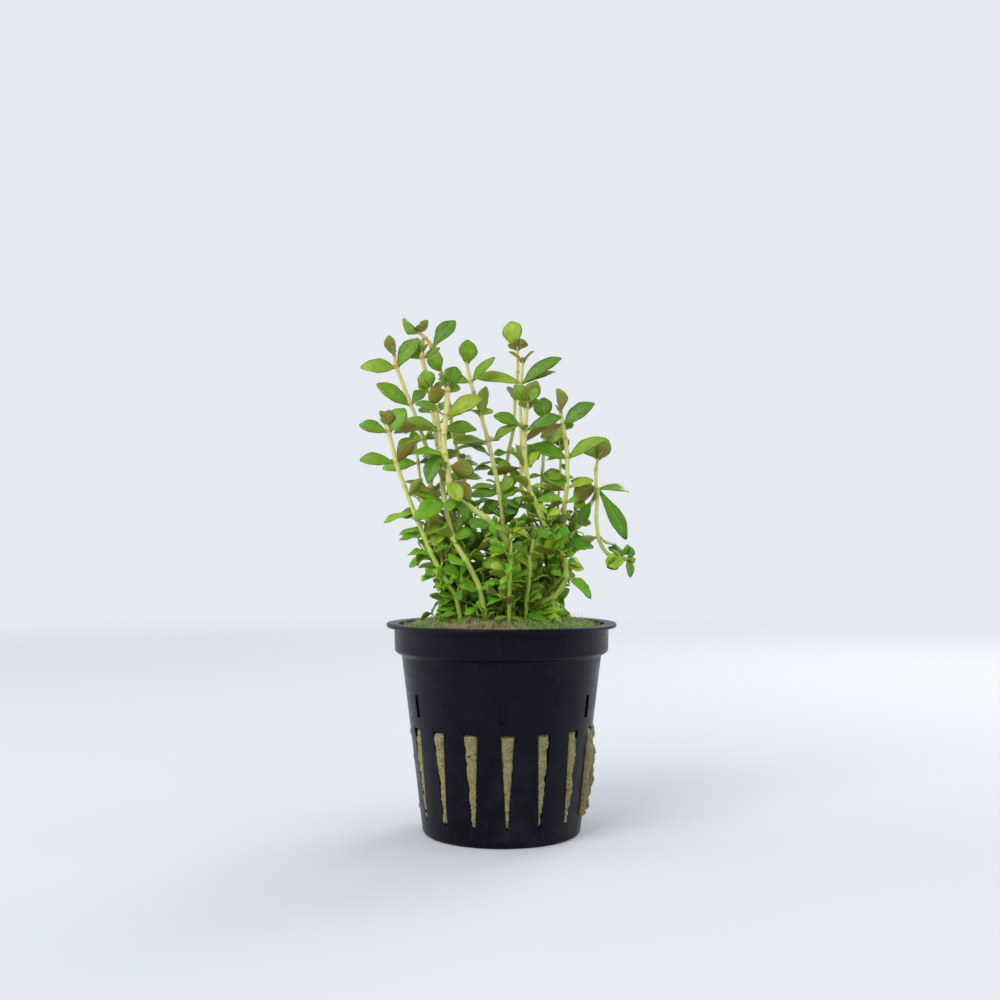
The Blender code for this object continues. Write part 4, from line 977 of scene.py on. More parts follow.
def corners_of(name):
    """A search tree over the corners of a solid, in millimetres."""
    corners = [vert.co / MM for vert in bpy.data.objects[name].data.vertices]
    tree = KDTree(len(corners))
    for number, corner in enumerate(corners):
        tree.insert(corner, number)
    tree.balance()
    return tree


def low_shoot(angle, chance):
    """The nodes of a short leafy shoot at an angle around the foot, leaning outwards."""
    lean = Vector((math.cos(angle), math.sin(angle)))
    base = lean * LOW_ROOT_RADIUS * chance.uniform(0.6, 1.0)
    top = chance.uniform(72, 84)
    places = [root(base.x, base.y)]
    height, turn = LOW_FIRST_NODE, chance.uniform(0, 180)
    while height < top:
        out = base + lean * (height - WOOL_CROWN) * chance.uniform(0.14, 0.2)
        size = chance.uniform(4.6, 6.4)
        places.append(node(out.x, height, out.y, *pair(turn, size, size * 0.5, 20)))
        height += chance.uniform(4.8, 6.0)
        turn += 90 + chance.uniform(-20, 20)
    return places


chance = random.Random(11)
low_shoots = []
for number in range(LOW_COUNT):
    name = f"shoot_low_{number + 1}"
    corners = corners_of(name)
    for _ in range(LOW_TRIES):
        angle = math.tau * (number + chance.uniform(-0.45, 0.45)) / LOW_COUNT
        places = low_shoot(angle, chance)
        nearest = corners.find_n(places[0][0], 4)
        if all(abs(distance - LOW_GIRTH) < MATCH for _, _, distance in nearest):
            low_shoots.append((name, LOW_GIRTH, places))
            break
print("low shoots found:", len(low_shoots))

# %% [markdown]
# The solid's leaves were turned, lifted or shortened a little where they would have met. The same
# list of trials finds each one: the trial whose blunt tip has its four corners on the solid is
# the leaf that was built, and a leaf with no such trial was left out.
# More leaves follow that the solids have no room for. Each is given by its stem, its height
# in the photograph, its painted shade and light, from dark to yellow, and its tip.

# %% Leaves that only the scene has
# Painted shade and light for a leaf: dark as in shade, plain, and yellow as with light coming through it.
SHADED_DARK, PLAIN, LIT_YELLOW = 0.05, 0.5, 0.95
MORE_LEAVES = (
    ("shoot_far_left", 97.3, PLAIN, leaf(-6.2, -1.4, 1.0, 2.4, -50)),
    ("shoot_far_left", 93.9, LIT_YELLOW, leaf(2.6, 2.6, 1.0, 1.2, 30)),
    ("shoot_fork_left", 96.6, PLAIN, leaf(-8.2, 2.0, 1.4, 2.6, 50)),
    ("shoot_fork_left", 97.6, LIT_YELLOW, leaf(5.6, 2.6, 1.6, 1.9, 40)),
    ("shoot_back_left", 94.3, PLAIN, leaf(-1.9, 0.6, 1.0, 2.2, 55)),
    ("shoot_back_left", 90.1, PLAIN, leaf(1.7, -1.3, -1.0, 2.0, -60)),
    ("shoot_back_left", 88.2, SHADED_DARK, leaf(4.6, -0.4, 1.6, 2.0, 40)),
    ("shoot_centre", 90.2, SHADED_DARK, leaf(-5.6, 2.2, -0.8, 2.2, 35)),
    ("shoot_centre", 92.9, LIT_YELLOW, leaf(-9.0, -1.9, 0.8, 1.8, 30)),
    ("shoot_centre", 88.6, SHADED_DARK, leaf(-4.2, -1.6, 1.6, 1.5, 20)),
    ("shoot_centre", 82.6, PLAIN, leaf(-6.6, -0.2, 1.2, 1.9, 35)),
    ("shoot_centre", 79.2, SHADED_DARK, leaf(-4.4, -2.8, 0.8, 2.8, 60)),
    ("shoot_centre", 79.4, PLAIN, leaf(4.2, 2.8, -0.6, 2.2, 45)),
    ("shoot_centre", 70.5, SHADED_DARK, leaf(5.6, 3.2, 1.0, 3.4, 55)),
    ("shoot_tallest", 88.5, PLAIN, leaf(-3.9, -0.8, -1.2, 1.9, 40)),
    ("shoot_middle_back", 88.2, LIT_YELLOW, leaf(-1.2, 4.4, -1.0, 2.8, 65)),
    ("shoot_middle_back", 92.6, SHADED_DARK, leaf(3.8, -3.9, -0.8, 3.6, 70)),
    ("shoot_middle_back", 93.0, PLAIN, leaf(6.6, 4.8, 0.8, 2.0, -55)),
    ("shoot_middle_back", 85.0, PLAIN, leaf(-5.2, -3.4, -1.4, 2.7, 55)),
    ("shoot_middle_back", 83.6, SHADED_DARK, leaf(-2.8, 2.4, -1.0, 2.6, 60)),
    ("shoot_middle_back", 69.0, SHADED_DARK, leaf(-2.6, 4.6, -1.0, 3.0, 60)),
    ("shoot_back_right", 92.4, LIT_YELLOW, leaf(4.8, 5.2, 0.8, 3.4, 60)),
    ("shoot_back_right", 90.2, PLAIN, leaf(2.6, 0.4, 0.4, 1.2, -45)),
    ("shoot_back_thin", 89.6, LIT_YELLOW, leaf(-1.0, 4.8, -0.6, 3.0, 60)),
    ("shoot_back_thin", 89.2, SHADED_DARK, leaf(-3.6, -0.4, 0.6, 1.2, 20)),
    ("shoot_back_thin", 91.0, LIT_YELLOW, leaf(2.2, 2.8, -0.4, 2.4, 60)),
    ("shoot_right", 96.0, PLAIN, leaf(1.9, 2.4, 1.4, 2.2, 50)),
    ("shoot_right", 84.6, PLAIN, leaf(-5.6, 1.0, 0.8, 2.8, 60)),
    ("shoot_right", 86.2, SHADED_DARK, leaf(-1.2, 1.6, 0.8, 1.4, 30)),
    ("shoot_right", 81.6, PLAIN, leaf(-6.4, 0.9, -0.6, 2.1, -50)),
    ("shoot_right", 75.2, SHADED_DARK, leaf(-4.6, 0.8, 0.8, 1.8, 30)),
    ("shoot_right", 74.0, PLAIN, leaf(-3.4, 1.2, 1.0, 2.4, -55)),
    ("shoot_right", 74.6, PLAIN, leaf(2.2, 2.4, 1.6, 2.4, -55)),
    ("shoot_right", 68.6, SHADED_DARK, leaf(1.6, -3.6, 1.2, 1.6, 30)),
    ("shoot_far_right", 82.4, SHADED_DARK, leaf(-6.2, 1.6, 0.6, 2.4, 40)),
    ("shoot_far_right", 78.6, SHADED_DARK, leaf(-5.4, -6.6, -1.4, 2.8, 55)),
    ("shoot_far_right", 77.4, LIT_YELLOW, leaf(-3.4, 1.2, 0.8, 2.6, 55)),
    ("shoot_far_right_hanging", 65.5, SHADED_DARK, leaf(-3.4, 2.6, 0.8, 3.0, 60)),
    ("shoot_far_right_hanging", 65.3, LIT_YELLOW, leaf(-5.0, -0.9, -1.0, 3.2, 70)),
    ("shoot_left", 75.6, SHADED_DARK, leaf(-3.2, 0.6, 0.4, 2.6, 65)),
    ("shoot_left", 72.4, PLAIN, leaf(-5.4, -1.3, 1.0, 1.5, 35)),
    ("shoot_left", 68.5, LIT_YELLOW, leaf(3.8, 1.6, 1.8, 3.4, 65)),
    ("shoot_left", 70.7, LIT_YELLOW, leaf(3.6, 3.4, 2.0, 3.0, 65)),
    ("shoot_left", 66.8, LIT_YELLOW, leaf(-1.4, 3.0, 1.0, 2.2, 60)),
    ("shoot_centre_left", 80.6, PLAIN, leaf(-7.6, 0.7, 0.8, 2.4, -60)),
    ("shoot_centre_left", 79.3, PLAIN, leaf(-7.4, 1.4, -0.6, 2.3, 60)),
    ("shoot_centre_left", 75.5, PLAIN, leaf(-4.4, -3.4, 2.2, 3.8, -65)),
    ("shoot_centre_left", 72.0, LIT_YELLOW, leaf(-4.6, -2.4, 2.4, 3.6, 65)),
    ("shoot_centre_left", 72.4, SHADED_DARK, leaf(5.0, -3.0, 1.4, 3.2, 60)),
    ("shoot_front", 64.6, PLAIN, leaf(-7.4, -1.4, 1.0, 3.0, 55)),
    ("shoot_front", 70.0, PLAIN, leaf(-6.4, -2.6, 0.8, 1.9, -50)),
    ("shoot_front", 62.4, PLAIN, leaf(2.4, 3.4, -1.2, 2.3, 60)),
    ("shoot_middle", 111.9, PLAIN, leaf(2.4, 3.8, -0.5, 3.4, 65)),
    ("shoot_tallest", 115.3, PLAIN, leaf(1.3, 2.6, -0.6, 2.9, -65)),
    ("shoot_tallest", 115.2, PLAIN, leaf(-2.2, 1.4, -0.6, 1.6, -40)),
    ("shoot_middle", 74.6, PLAIN, leaf(-7.6, -1.0, 1.2, 1.8, -40)),
    ("shoot_middle", 70.2, PLAIN, leaf(-6.0, -1.4, 1.6, 3.0, 60)),
    ("shoot_middle", 63.4, LIT_YELLOW, leaf(4.4, -0.6, 1.2, 2.2, 60)),
    ("shoot_middle", 66.0, PLAIN, leaf(-3.0, -3.4, 1.4, 2.8, 55)),
)
print(len(MORE_LEAVES), "more leaves described")

# %% Stems and leaf places
STEM_TAPER = 0.22
STEM_TIP = 0.62
LEAF_DEPTH = 0.9
LEAF_BOW = 0.07
LEAF_THICK = 0.34
LARGE_LEAF = 7.2
TIP_WIDTH_LARGE = 0.42
TIP_WIDTH_SMALL = 0.45
TRIAL_TURNS = (0, 9, -9, 18, -18, 28, -28, 40, -40, 55, -55)
TRIAL_LIFTS = (0, 12, -12)
TRIAL_SIZES = (1.0, 0.86, 0.72)


def on_curve(points, index, share):
    """A point of the smooth curve through points, between one point and the next."""
    first, last = points[max(index - 1, 0)], points[min(index + 2, len(points) - 1)]
    before, after = points[index], points[index + 1]
    square, cube = share * share, share ** 3
    return 0.5 * (
        2 * before + (after - first) * share + (2 * first - 5 * before + 4 * after - last) * square
        + (3 * before - first - 3 * after + last) * cube
    )


def square_to(side, direction):
    """The part of a vector that is square to a direction, as a unit vector."""
    return (side - direction * side.dot(direction)).normalized()


class Stem:
    """A stem's nodes, the directions between them and its radius at each."""

    def __init__(self, name, girth, places):
        self.name = name
        self.girth = girth
        self.points = [place for place, _ in places]
        self.leaves = [leaves for _, leaves in places]
        steps = [(after - before).normalized() for before, after in zip(self.points, self.points[1:])]
        inner = [(before + after).normalized() for before, after in zip(steps, steps[1:])]
        self.directions = [steps[0], *inner, steps[-1]]
        count = len(places)
        self.radii = [girth * (1 - STEM_TAPER * n / count) for n in range(count)]
        self.radii[-1] = girth * STEM_TIP

    def at_height(self, up):
        """The point, direction and radius where the stem shows at a height in the photograph."""
        steps = [(index, n / 12) for index in range(len(self.points) - 1) for n in range(12)]
        seen = []
        for index, share in steps:
            point = on_curve(self.points, index, share)
            height = EYE_HEIGHT + (point.z - EYE_HEIGHT) / (1 + point.y / EYE_DISTANCE)
            seen.append((abs(height - up), index, point))
        _, index, point = min(seen, key=lambda each: each[0])
        return point, (self.points[index + 1] - self.points[index]).normalized(), self.radii[index]


class LeafPlace:
    """Where a leaf starts, the straight line to its tip, its upper face and its width."""

    def __init__(self, point, direction, radius, reach, width, lean):
        outward = square_to(reach, direction)
        self.lean = lean
        self.width = width
        self.start = point + outward * radius * LEAF_DEPTH
        self.line = point + reach - self.start
        along = self.line.normalized()
        face = (direction * along.dot(outward) - outward * along.dot(direction)).normalized()
        edge = along.cross(face)
        if edge.dot(TOWARDS_VIEWER) < 0:
            edge = -edge
        self.face = face * math.cos(math.radians(lean)) + edge * math.sin(math.radians(lean))
        self.across = self.face.cross(along)

    def turn_to_viewer(self, angle):
        """Shows a little more of the side that is turned to the viewer already."""
        before = abs(self.face.dot(TOWARDS_VIEWER))
        self.roll(math.radians(angle))
        if abs(self.face.dot(TOWARDS_VIEWER)) < before:
            self.roll(math.radians(-2 * angle))

    def roll(self, angle):
        """Turns the leaf about its own line."""
        turn = Matrix.Rotation(angle, 3, self.line.normalized())
        self.face = turn @ self.face
        self.across = turn @ self.across

    def blunt_tip(self):
        """The four corners of the solid leaf's end."""
        share = TIP_WIDTH_LARGE if self.large else TIP_WIDTH_SMALL
        tip = self.start + self.line
        half, thick = self.across * self.width * share / 2, self.face * LEAF_THICK / 2
        return tip + half + thick, tip + half - thick, tip - half + thick, tip - half - thick


def trials(stem, number, reach, width, lean):
    """The leaf as described, then turned, lifted and shortened step by step."""
    direction = stem.directions[number]
    for size in TRIAL_SIZES:
        for lift in TRIAL_LIFTS:
            for turn in TRIAL_TURNS:
                moved = Matrix.Rotation(math.radians(turn), 3, direction) @ reach
                sideways = direction.cross(square_to(moved, direction))
                moved = Matrix.Rotation(math.radians(-lift), 3, sideways) @ moved * size
                place = LeafPlace(
                    stem.points[number], direction, stem.radii[number], moved, width * math.sqrt(size), lean
                )
                place.large = moved.length > LARGE_LEAF
                yield place


# %% Find every leaf on its solid
stems = []
for name, girth, places in (*SHOOTS, *low_shoots):
    stem = Stem(name, girth, places)
    corners = corners_of(name)
    stem.grown = []
    for number, leaves in enumerate(stem.leaves):
        found_here = []
        for reach, width, lean in leaves:
            for place in trials(stem, number, reach, width, lean):
                if all(corners.find(corner)[2] < MATCH for corner in place.blunt_tip()):
                    found_here.append(place)
                    break
        stem.grown.append(found_here)
    stems.append(stem)
found = sum(len(leaves) for stem in stems for leaves in stem.grown)
described = sum(len(leaves) for stem in stems for leaves in stem.leaves)
print(found, "leaves found of", described, "described")

# %% [markdown]
# A leaf is a thin blade, widest past its middle, with a blunt round tip. It is folded a little
# along its midrib, and it bows, twists and waves. A flat grid gives its points, one row of them
# across the blade at each step along it. Solidify then gives it its thickness.
# Each point keeps its tone: how young the leaf is, its own chance, which many leaves take from a given painted
# shade and light instead, and its side.

# %% The blade of a leaf
BLADE_THICK = 0.16
BLADE_BROADER = 1.2  # a solid leaf's blunt sections are narrower than the leaf they stand for


def blade_outline(share, broadest):
    """The width of the blade at a share of its length, as a share of its greatest width.

    The blade is broadest at the share given. Its base stays as wide as a leaf stalk.
    """
    share = max(0.0, min(1.0, share))
    bend = math.log(0.5) / math.log(broadest)
    return max(0.16, math.sin(math.pi * share ** bend) ** 0.72)


def grow_blade(mesh, place, chance, youth, bronze, rows=12, columns=4, luck=None):
    """Adds one leaf to a mesh of the shoot, at its place."""
    tone, side_map = tone_layer(mesh), mesh.loops.layers.uv["blade"]
    length, along = place.line.length, place.line.normalized()
    fold = math.tan(math.radians(chance.uniform(9, 20)))
    twist = math.radians(chance.gauss(0, 7))
    curl = chance.gauss(0.02, 0.035)
    sway = chance.gauss(0, 0.03)
    waves, phase = chance.uniform(0.006, 0.02) * (1 if youth > 0.4 else 2.2), chance.uniform(0, math.tau)
    luck = chance.random() if luck is None else luck
    broadest = chance.uniform(0.47, 0.62)
    ragged = 0.028 if youth > 0.4 else 0.07
    grid = bmesh.ops.create_grid(mesh, x_segments=columns, y_segments=rows, size=0.5)["verts"]
    blade_faces = {face for vert in grid for face in vert.link_faces}
    for vert in grid:
        side, step = -vert.co.x * 2, vert.co.y + 0.5
        for loop in vert.link_loops:
            loop[side_map].uv = (vert.co.x + 0.5, step)
        share = -0.06 + step * 0.99 + 0.07 * (1 - side * side) * step ** 6
        half = place.width / 2 * BLADE_BROADER * blade_outline(-0.06 + step * 0.99, broadest)
        nick = math.sin(phase * 3 + step * 19 + side * 5) + 0.6 * math.sin(phase * 5 + step * 37)
        out = side * half * (1 + ragged * nick)
        turn = twist * (share - 0.3)
        lift = place.face * math.cos(turn) + place.across * math.sin(turn)
        flat = place.across * math.cos(turn) - place.face * math.sin(turn)
        bow = LEAF_BOW * 4 * share * (1 - share) - curl * max(0, share - 0.6) ** 2 * 6
        wave = waves * math.sin(phase + share * 11 + side) * side * side
        rise = (bow + wave) * length + fold * (math.hypot(out, 0.25) - 0.25)
        centre = place.start + place.line * share + place.across * sway * length * share * share
        vert.co = centre + flat * out + lift * rise
        vert[tone] = (youth, luck, 1, bronze)
    for face in blade_faces:
        face.material_index = 1
        face.normal_update()
    made = bmesh.ops.solidify(mesh, geom=list(blade_faces), thickness=BLADE_THICK)["geom"]
    upper = set(grid)
    for vert in made:
        if isinstance(vert, bmesh.types.BMVert) and vert not in upper:
            vert[tone] = (youth, luck, 0, bronze)
    return 2 * len(blade_faces)


# %% [markdown]
# The stem is a closed rod, drawn ring by ring along a smooth curve through its nodes. It swells
# at each node and ends in a small bud. A bunch like this has young side shoots low down, where
# the old leaves sit, so twigs with tiny leaves grow there.

# %% Draw a stem
STEM_SIDES = 10
BURIED = 1.6


def ring_steps(length):
    """Distances along a stretch between two nodes, closer together near both."""
    near = [0.0, 0.35, 0.8, 1.4]
    near = [step for step in near if step < length / 2]
    far = max(1, int((length - 2 * near[-1]) / 1.6))
    middle = [near[-1] + (length - 2 * near[-1]) * n / far for n in range(1, far)]
    return near + middle + [length - step for step in reversed(near)][:-1]


def draw_rod(mesh, places, sides):
    """A closed rod through (centre, radius, tone), as rings that don't twist."""
    tone = tone_layer(mesh)
    base = bmesh.ops.create_cone(mesh, segments=sides, radius1=1, radius2=1, depth=1, cap_ends=True)["verts"]
    end = max((face for vert in base for face in vert.link_faces), key=lambda f: f.calc_center_median().z)
    upper = list(end.verts)
    lower = [min((v for v in base if v.co.z < 0), key=lambda v: (v.co.xy - top.co.xy).length) for top in upper]
    forward = None
    for number, (centre, radius, shade) in enumerate(places):
        after = places[min(number + 1, len(places) - 1)][0]
        before = places[max(number - 1, 0)][0]
        direction = (after - before).normalized()
        forward = square_to(forward or direction.orthogonal(), direction)
        sideways = direction.cross(forward)
        if number > 1:
            end = bmesh.ops.extrude_discrete_faces(mesh, faces=[end])["faces"][0]
            upper = list(end.verts)
        for step, vert in enumerate(lower if number == 0 else upper):
            angle = math.tau * step / sides
            vert.co = centre + (forward * math.cos(angle) + sideways * math.sin(angle)) * radius
            vert[tone] = shade


def stem_places(stem, luck):
    """Centres, radii and tones of a stem's rings, from its buried foot to its bud."""
    places = []
    last = len(stem.points) - 2
    foot = stem.points[0] - stem.directions[0] * BURIED
    places.append((foot, stem.girth * 0.9, (0, 0, luck, 0)))
    for index in range(last + 1):
        length = (stem.points[index + 1] - stem.points[index]).length
        steps = ring_steps(length) + ([length] if index == last else [])
        for step in steps:
            share = step / length
            radius = stem.radii[index] + (stem.radii[index + 1] - stem.radii[index]) * share
            swell, knot = 0.0, 0.0
            for number, distance in ((index, step), (index + 1, length - step)):
                if number > 0:
                    strength = 0.32 if stem.grown[number] else 0.16
                    swell += strength * math.exp(-(distance / 0.62) ** 2)
                    knot = max(knot, math.exp(-(distance / 0.45) ** 2))
            centre = on_curve(stem.points, index, share)
            height = (centre.z - WOOL_EDGE) / 70
            places.append((centre, radius * (1.04 + swell), (height, knot, luck, 0)))
    tip, direction, radius = stem.points[-1], stem.directions[-1], stem.radii[-1]
    for rise, share in ((0.45, 0.75), (0.9, 0.5), (1.3, 0.18)):
        places.append((tip + direction * rise, radius * share, (1, 0.6, luck, 0)))
    return places


# %% Buds and twigs


def small_leaf(mesh, point, direction, radius, turn, rise, length, width, chance, youth, lean=0, luck=None):
    """A small leaf at an angle around a stem, given by numbers alone."""
    side = Matrix.Rotation(turn, 3, direction) @ square_to(direction.orthogonal(), direction)
    reach = (side * math.cos(rise) + direction * math.sin(rise)) * length
    place = LeafPlace(point, direction, radius, reach, width, lean)
    grow_blade(mesh, place, chance, youth, chance.random() * 0.4, rows=6, columns=2, luck=luck)


def grow_bud(mesh, stem, chance):
    """The unopened leaves at a growing tip."""
    point, direction = stem.points[-1], stem.directions[-1]
    turn = chance.uniform(0, math.tau)
    for size, rise in ((2.4, 60), (1.6, 74)):
        for half in (0, math.pi):
            length = size * chance.uniform(0.85, 1.15)
            small_leaf(
                mesh, point, direction, stem.radii[-1] * 0.6, turn + half, math.radians(rise), length,
                length * 0.42, chance, 1.0,
            )
        turn += math.pi / 2


def painted_shade_and_light_at(point, chance):
    """Painted shade and light on a low leaf: dark inside the bunch, where shade falls, and lighter to its right and
    outside, where more light gets in.
    """
    outside = min(1.0, point.xy.length / 16)
    sunny = 0.25 if point.x > 5 else 0.0
    return max(0.0, min(1.0, chance.gauss(0.22 + 0.35 * outside ** 2 + sunny, 0.26)))


def grow_twig(mesh, point, direction, girth, turn, chance):
    """A young side shoot: a thin stem with two or three pairs of small leaves."""
    side = Matrix.Rotation(turn, 3, direction) @ square_to(direction.orthogonal(), direction)
    heading = (side + direction * chance.uniform(0.35, 1.0)).normalized()
    pairs = chance.choice((1, 2, 2, 3))
    spacing = chance.uniform(1.4, 2.3)
    places, luck = [], chance.random()
    leaf_turn = chance.uniform(0, math.tau)
    for number in range(pairs + 1):
        centre = point + heading * spacing * number + direction * 0.12 * (spacing * number) ** 1.3
        places.append((centre, girth * (1 - 0.2 * number), (0.25, 0.3 if number else 0, luck, 0)))
    draw_rod(mesh, places, 5)
    for number in range(1, pairs + 1):
        length = chance.uniform(2.8, 4.8) * (1 - 0.16 * (number - 1))
        for half in (0, math.pi):
            small_leaf(
                mesh, places[number][0], heading, girth * 0.8, leaf_turn + half,
                math.radians(chance.uniform(5, 55)), length, length * chance.uniform(0.4, 0.58), chance,
                chance.uniform(0.0, 0.35), chance.gauss(0, 35), painted_shade_and_light_at(places[number][0], chance),
            )
        leaf_turn += math.pi / 2


TWIG_TOP = 72.0
FILLER_TOP = 86.0
FILLER_FADE = 28.0  # the height over which the filling leaves thin out


def grow_filler(mesh, stem, index, chance):
    """Old leaves on a low stretch of a stem, which stand every way and fill the bunch."""
    before, after = stem.points[index], stem.points[index + 1]
    direction = (after - before).normalized()
    grown = 0
    step = chance.uniform(0.6, 1.8)
    while step < (after - before).length:
        point = on_curve(stem.points, index, step / (after - before).length)
        height = point.z
        step += chance.uniform(2.0, 3.6)
        turn = chance.uniform(0, math.tau)
        for half in (0, math.pi):
            side = Matrix.Rotation(turn + half, 3, direction) @ square_to(direction.orthogonal(), direction)
            hides_front = side.y < -0.3 and point.y < -3
            leaves_bunch = side.x * point.x > 0 and abs(point.x) > 11 and height > 66
            if hides_front or leaves_bunch or chance.random() < (height - 60) / FILLER_FADE:
                continue
            length = chance.uniform(3.0, 5.8)
            small_leaf(
                mesh, point, direction, stem.girth, turn + half, math.radians(chance.uniform(-40, 50)),
                length, length * chance.uniform(0.34, 0.52), chance, max(0.0, (height - 52) / 50),
                chance.gauss(0, 45), painted_shade_and_light_at(point, chance),
            )
            grown += 1
    return grown


# %% [markdown]
# The stem's finish runs from yellow-green at its foot to pale cream and rose higher up, with
# orange-brown rings at the nodes and fine streaks along it.

# %% Stem finish
stem_skin, tree, shader = finish("rotala stem")
tone = add(tree, "SeparateColor", {"Color": add(tree, "Attribute", attribute_name="tone").outputs["Color"]})
place = object_place(tree)
streak = cloudy(tree, object_place(tree, (2.6, 2.6, 0.25)), 1.0, 3, 0.6)
ramp = add(tree, "ValToRGB", {"Fac": tone.outputs["Red"]})
ramp.color_ramp.elements[0].color = (0.33, 0.46, 0.045, 1)
ramp.color_ramp.elements[1].position = 1.0
ramp.color_ramp.elements[1].color = (0.6, 0.4, 0.12, 1)
for position, colour in ((0.25, (0.46, 0.55, 0.08, 1)), (0.5, (0.62, 0.62, 0.2, 1)), (0.85, (0.72, 0.64, 0.3, 1))):
    ramp.color_ramp.elements.new(position).color = colour
colour = mixed(tree, spread(tree, streak, 0.35, 0.7, 0.0, 0.55), ramp.outputs["Color"], (0.36, 0.46, 0.06, 1))
knot = summed(tree, "MULTIPLY", spread(tree, tone.outputs["Green"], 0.3, 0.95), spread(tree, tone.outputs["Red"], 0.3, 0.75))
colour = mixed(tree, summed(tree, "MULTIPLY", knot, 0.75), colour, (0.42, 0.22, 0.05, 1))
tree.links.new(colour, shader.inputs["Base Color"])
tree.links.new(spread(tree, streak, 0.3, 0.7, 0.36, 0.5), shader.inputs["Roughness"])
shader.inputs["Subsurface Weight"].default_value = 0.3
shader.inputs["Subsurface Radius"].default_value = (1.0, 0.8, 0.25)
shader.inputs["Subsurface Scale"].default_value = 0.7 * MM
bumped(tree, shader, streak, 0.05, 0.6)

# %% [markdown]
# A leaf's finish reads its map, u across the blade and v along it. The midrib is a pale line,
# side veins branch off it towards the tip, and a thin red-brown line follows the margin of the
# young leaves. Upper sides are fresh green, and undersides paler, olive or bronze.

# %% Leaf finish
leaf_skin, tree, shader = finish("rotala leaf")
attribute = add(tree, "Attribute", attribute_name="tone")
tone = add(tree, "SeparateColor", {"Color": attribute.outputs["Color"]})
youth, luck, upper, bronze = tone.outputs["Red"], tone.outputs["Green"], tone.outputs["Blue"], attribute.outputs["Alpha"]
place = object_place(tree)
blade = add(tree, "SeparateXYZ", {"Vector": add(tree, "UVMap", uv_map="blade").outputs["UV"]})
off_rib = summed(tree, "MULTIPLY", summed(tree, "ABSOLUTE", summed(tree, "SUBTRACT", blade.outputs["X"], 0.5)), 2.0)
along = blade.outputs["Y"]
mottle = cloudy(tree, place, 0.45, 3, 0.55)
drift = add(tree, "CombineXYZ", {"X": off_rib, "Y": summed(tree, "MULTIPLY", along, 2.4), "Z": summed(tree, "MULTIPLY", luck, 40.0)})
streak = cloudy(tree, drift.outputs["Vector"], 1.6, 4, 0.6)

ramp = add(tree, "ValToRGB", {"Fac": youth})
ramp.color_ramp.elements[0].color = (0.1, 0.34, 0.006, 1)
ramp.color_ramp.elements[1].position = 1.0
ramp.color_ramp.elements[1].color = (0.16, 0.29, 0.012, 1)
for position, colour in ((0.3, (0.14, 0.38, 0.007, 1)), (0.7, (0.155, 0.32, 0.009, 1))):
    ramp.color_ramp.elements.new(position).color = colour
# Painted light and shade through luck: high luck paints the leaf a lighter yellow, as with light coming through it,
# and low luck paints it dark green, as shade. For leaves given a painted shade this is painted light and shade, and
# for the rest it is a random tone.
yellow = mixed(tree, youth, (0.5, 0.6, 0.03, 1), (0.34, 0.42, 0.025, 1))
green = mixed(tree, spread(tree, luck, 0.4, 1.0, 0.0, 0.75), ramp.outputs["Color"], yellow)
green = mixed(tree, spread(tree, luck, 0.38, 0.0, 0.0, 0.75), green, (0.035, 0.15, 0.01, 1))
green = mixed(tree, spread(tree, mottle, 0.4, 0.7, 0.0, 0.35), green, (0.07, 0.2, 0.008, 1))
green = mixed(tree, spread(tree, streak, 0.45, 0.75, 0.0, 0.35), green, (0.34, 0.5, 0.04, 1))
vein_angle = summed(tree, "SUBTRACT", along, summed(tree, "MULTIPLY", off_rib, 0.22))
vein_wave = summed(tree, "SINE", summed(tree, "MULTIPLY", vein_angle, 50.0))
side_vein = spread(tree, vein_wave, 0.55, 0.98)
side_vein = summed(tree, "MULTIPLY", side_vein, spread(tree, off_rib, 0.95, 0.6))
midrib = summed(tree, "MULTIPLY", spread(tree, off_rib, 0.14, 0.04), spread(tree, along, 1.0, 0.75))
veins = summed(tree, "MAXIMUM", midrib, summed(tree, "MULTIPLY", side_vein, 0.35))
green = mixed(tree, summed(tree, "MULTIPLY", veins, 0.3), green, (0.3, 0.42, 0.09, 1))

flushed = summed(tree, "MULTIPLY", bronze, spread(tree, summed(tree, "ADD", along, streak), 1.6, 0.9, 0.25, 1.25))
under = mixed(tree, flushed, (0.22, 0.35, 0.035, 1), (0.27, 0.15, 0.032, 1))
under = mixed(tree, spread(tree, mottle, 0.35, 0.7, 0.0, 0.4), under, (0.17, 0.26, 0.022, 1))
under = mixed(tree, summed(tree, "MULTIPLY", veins, 0.35), under, (0.26, 0.29, 0.08, 1))
colour = mixed(tree, upper, under, green)
edge = summed(tree, "MAXIMUM", spread(tree, off_rib, 0.86, 0.99), spread(tree, along, 0.965, 0.998))
edge = summed(tree, "MULTIPLY", edge, spread(tree, youth, 0.15, 0.8, 0.15, 0.75))
edge = summed(tree, "MULTIPLY", edge, spread(tree, mottle, 0.2, 0.6, 0.4, 1.0))
colour = mixed(tree, edge, colour, (0.14, 0.035, 0.012, 1))
tree.links.new(colour, shader.inputs["Base Color"])
tree.links.new(spread(tree, mottle, 0.3, 0.7, 0.28, 0.44), shader.inputs["Roughness"])
shader.inputs["Specular IOR Level"].default_value = 0.24
shader.inputs["Subsurface Weight"].default_value = 0.6
shader.inputs["Subsurface Radius"].default_value = (0.7, 1.0, 0.2)
shader.inputs["Subsurface Scale"].default_value = 0.5 * MM
relief = summed(tree, "SUBTRACT", streak, summed(tree, "MULTIPLY", veins, 0.7))
bumped(tree, shader, relief, 0.06, 0.7)

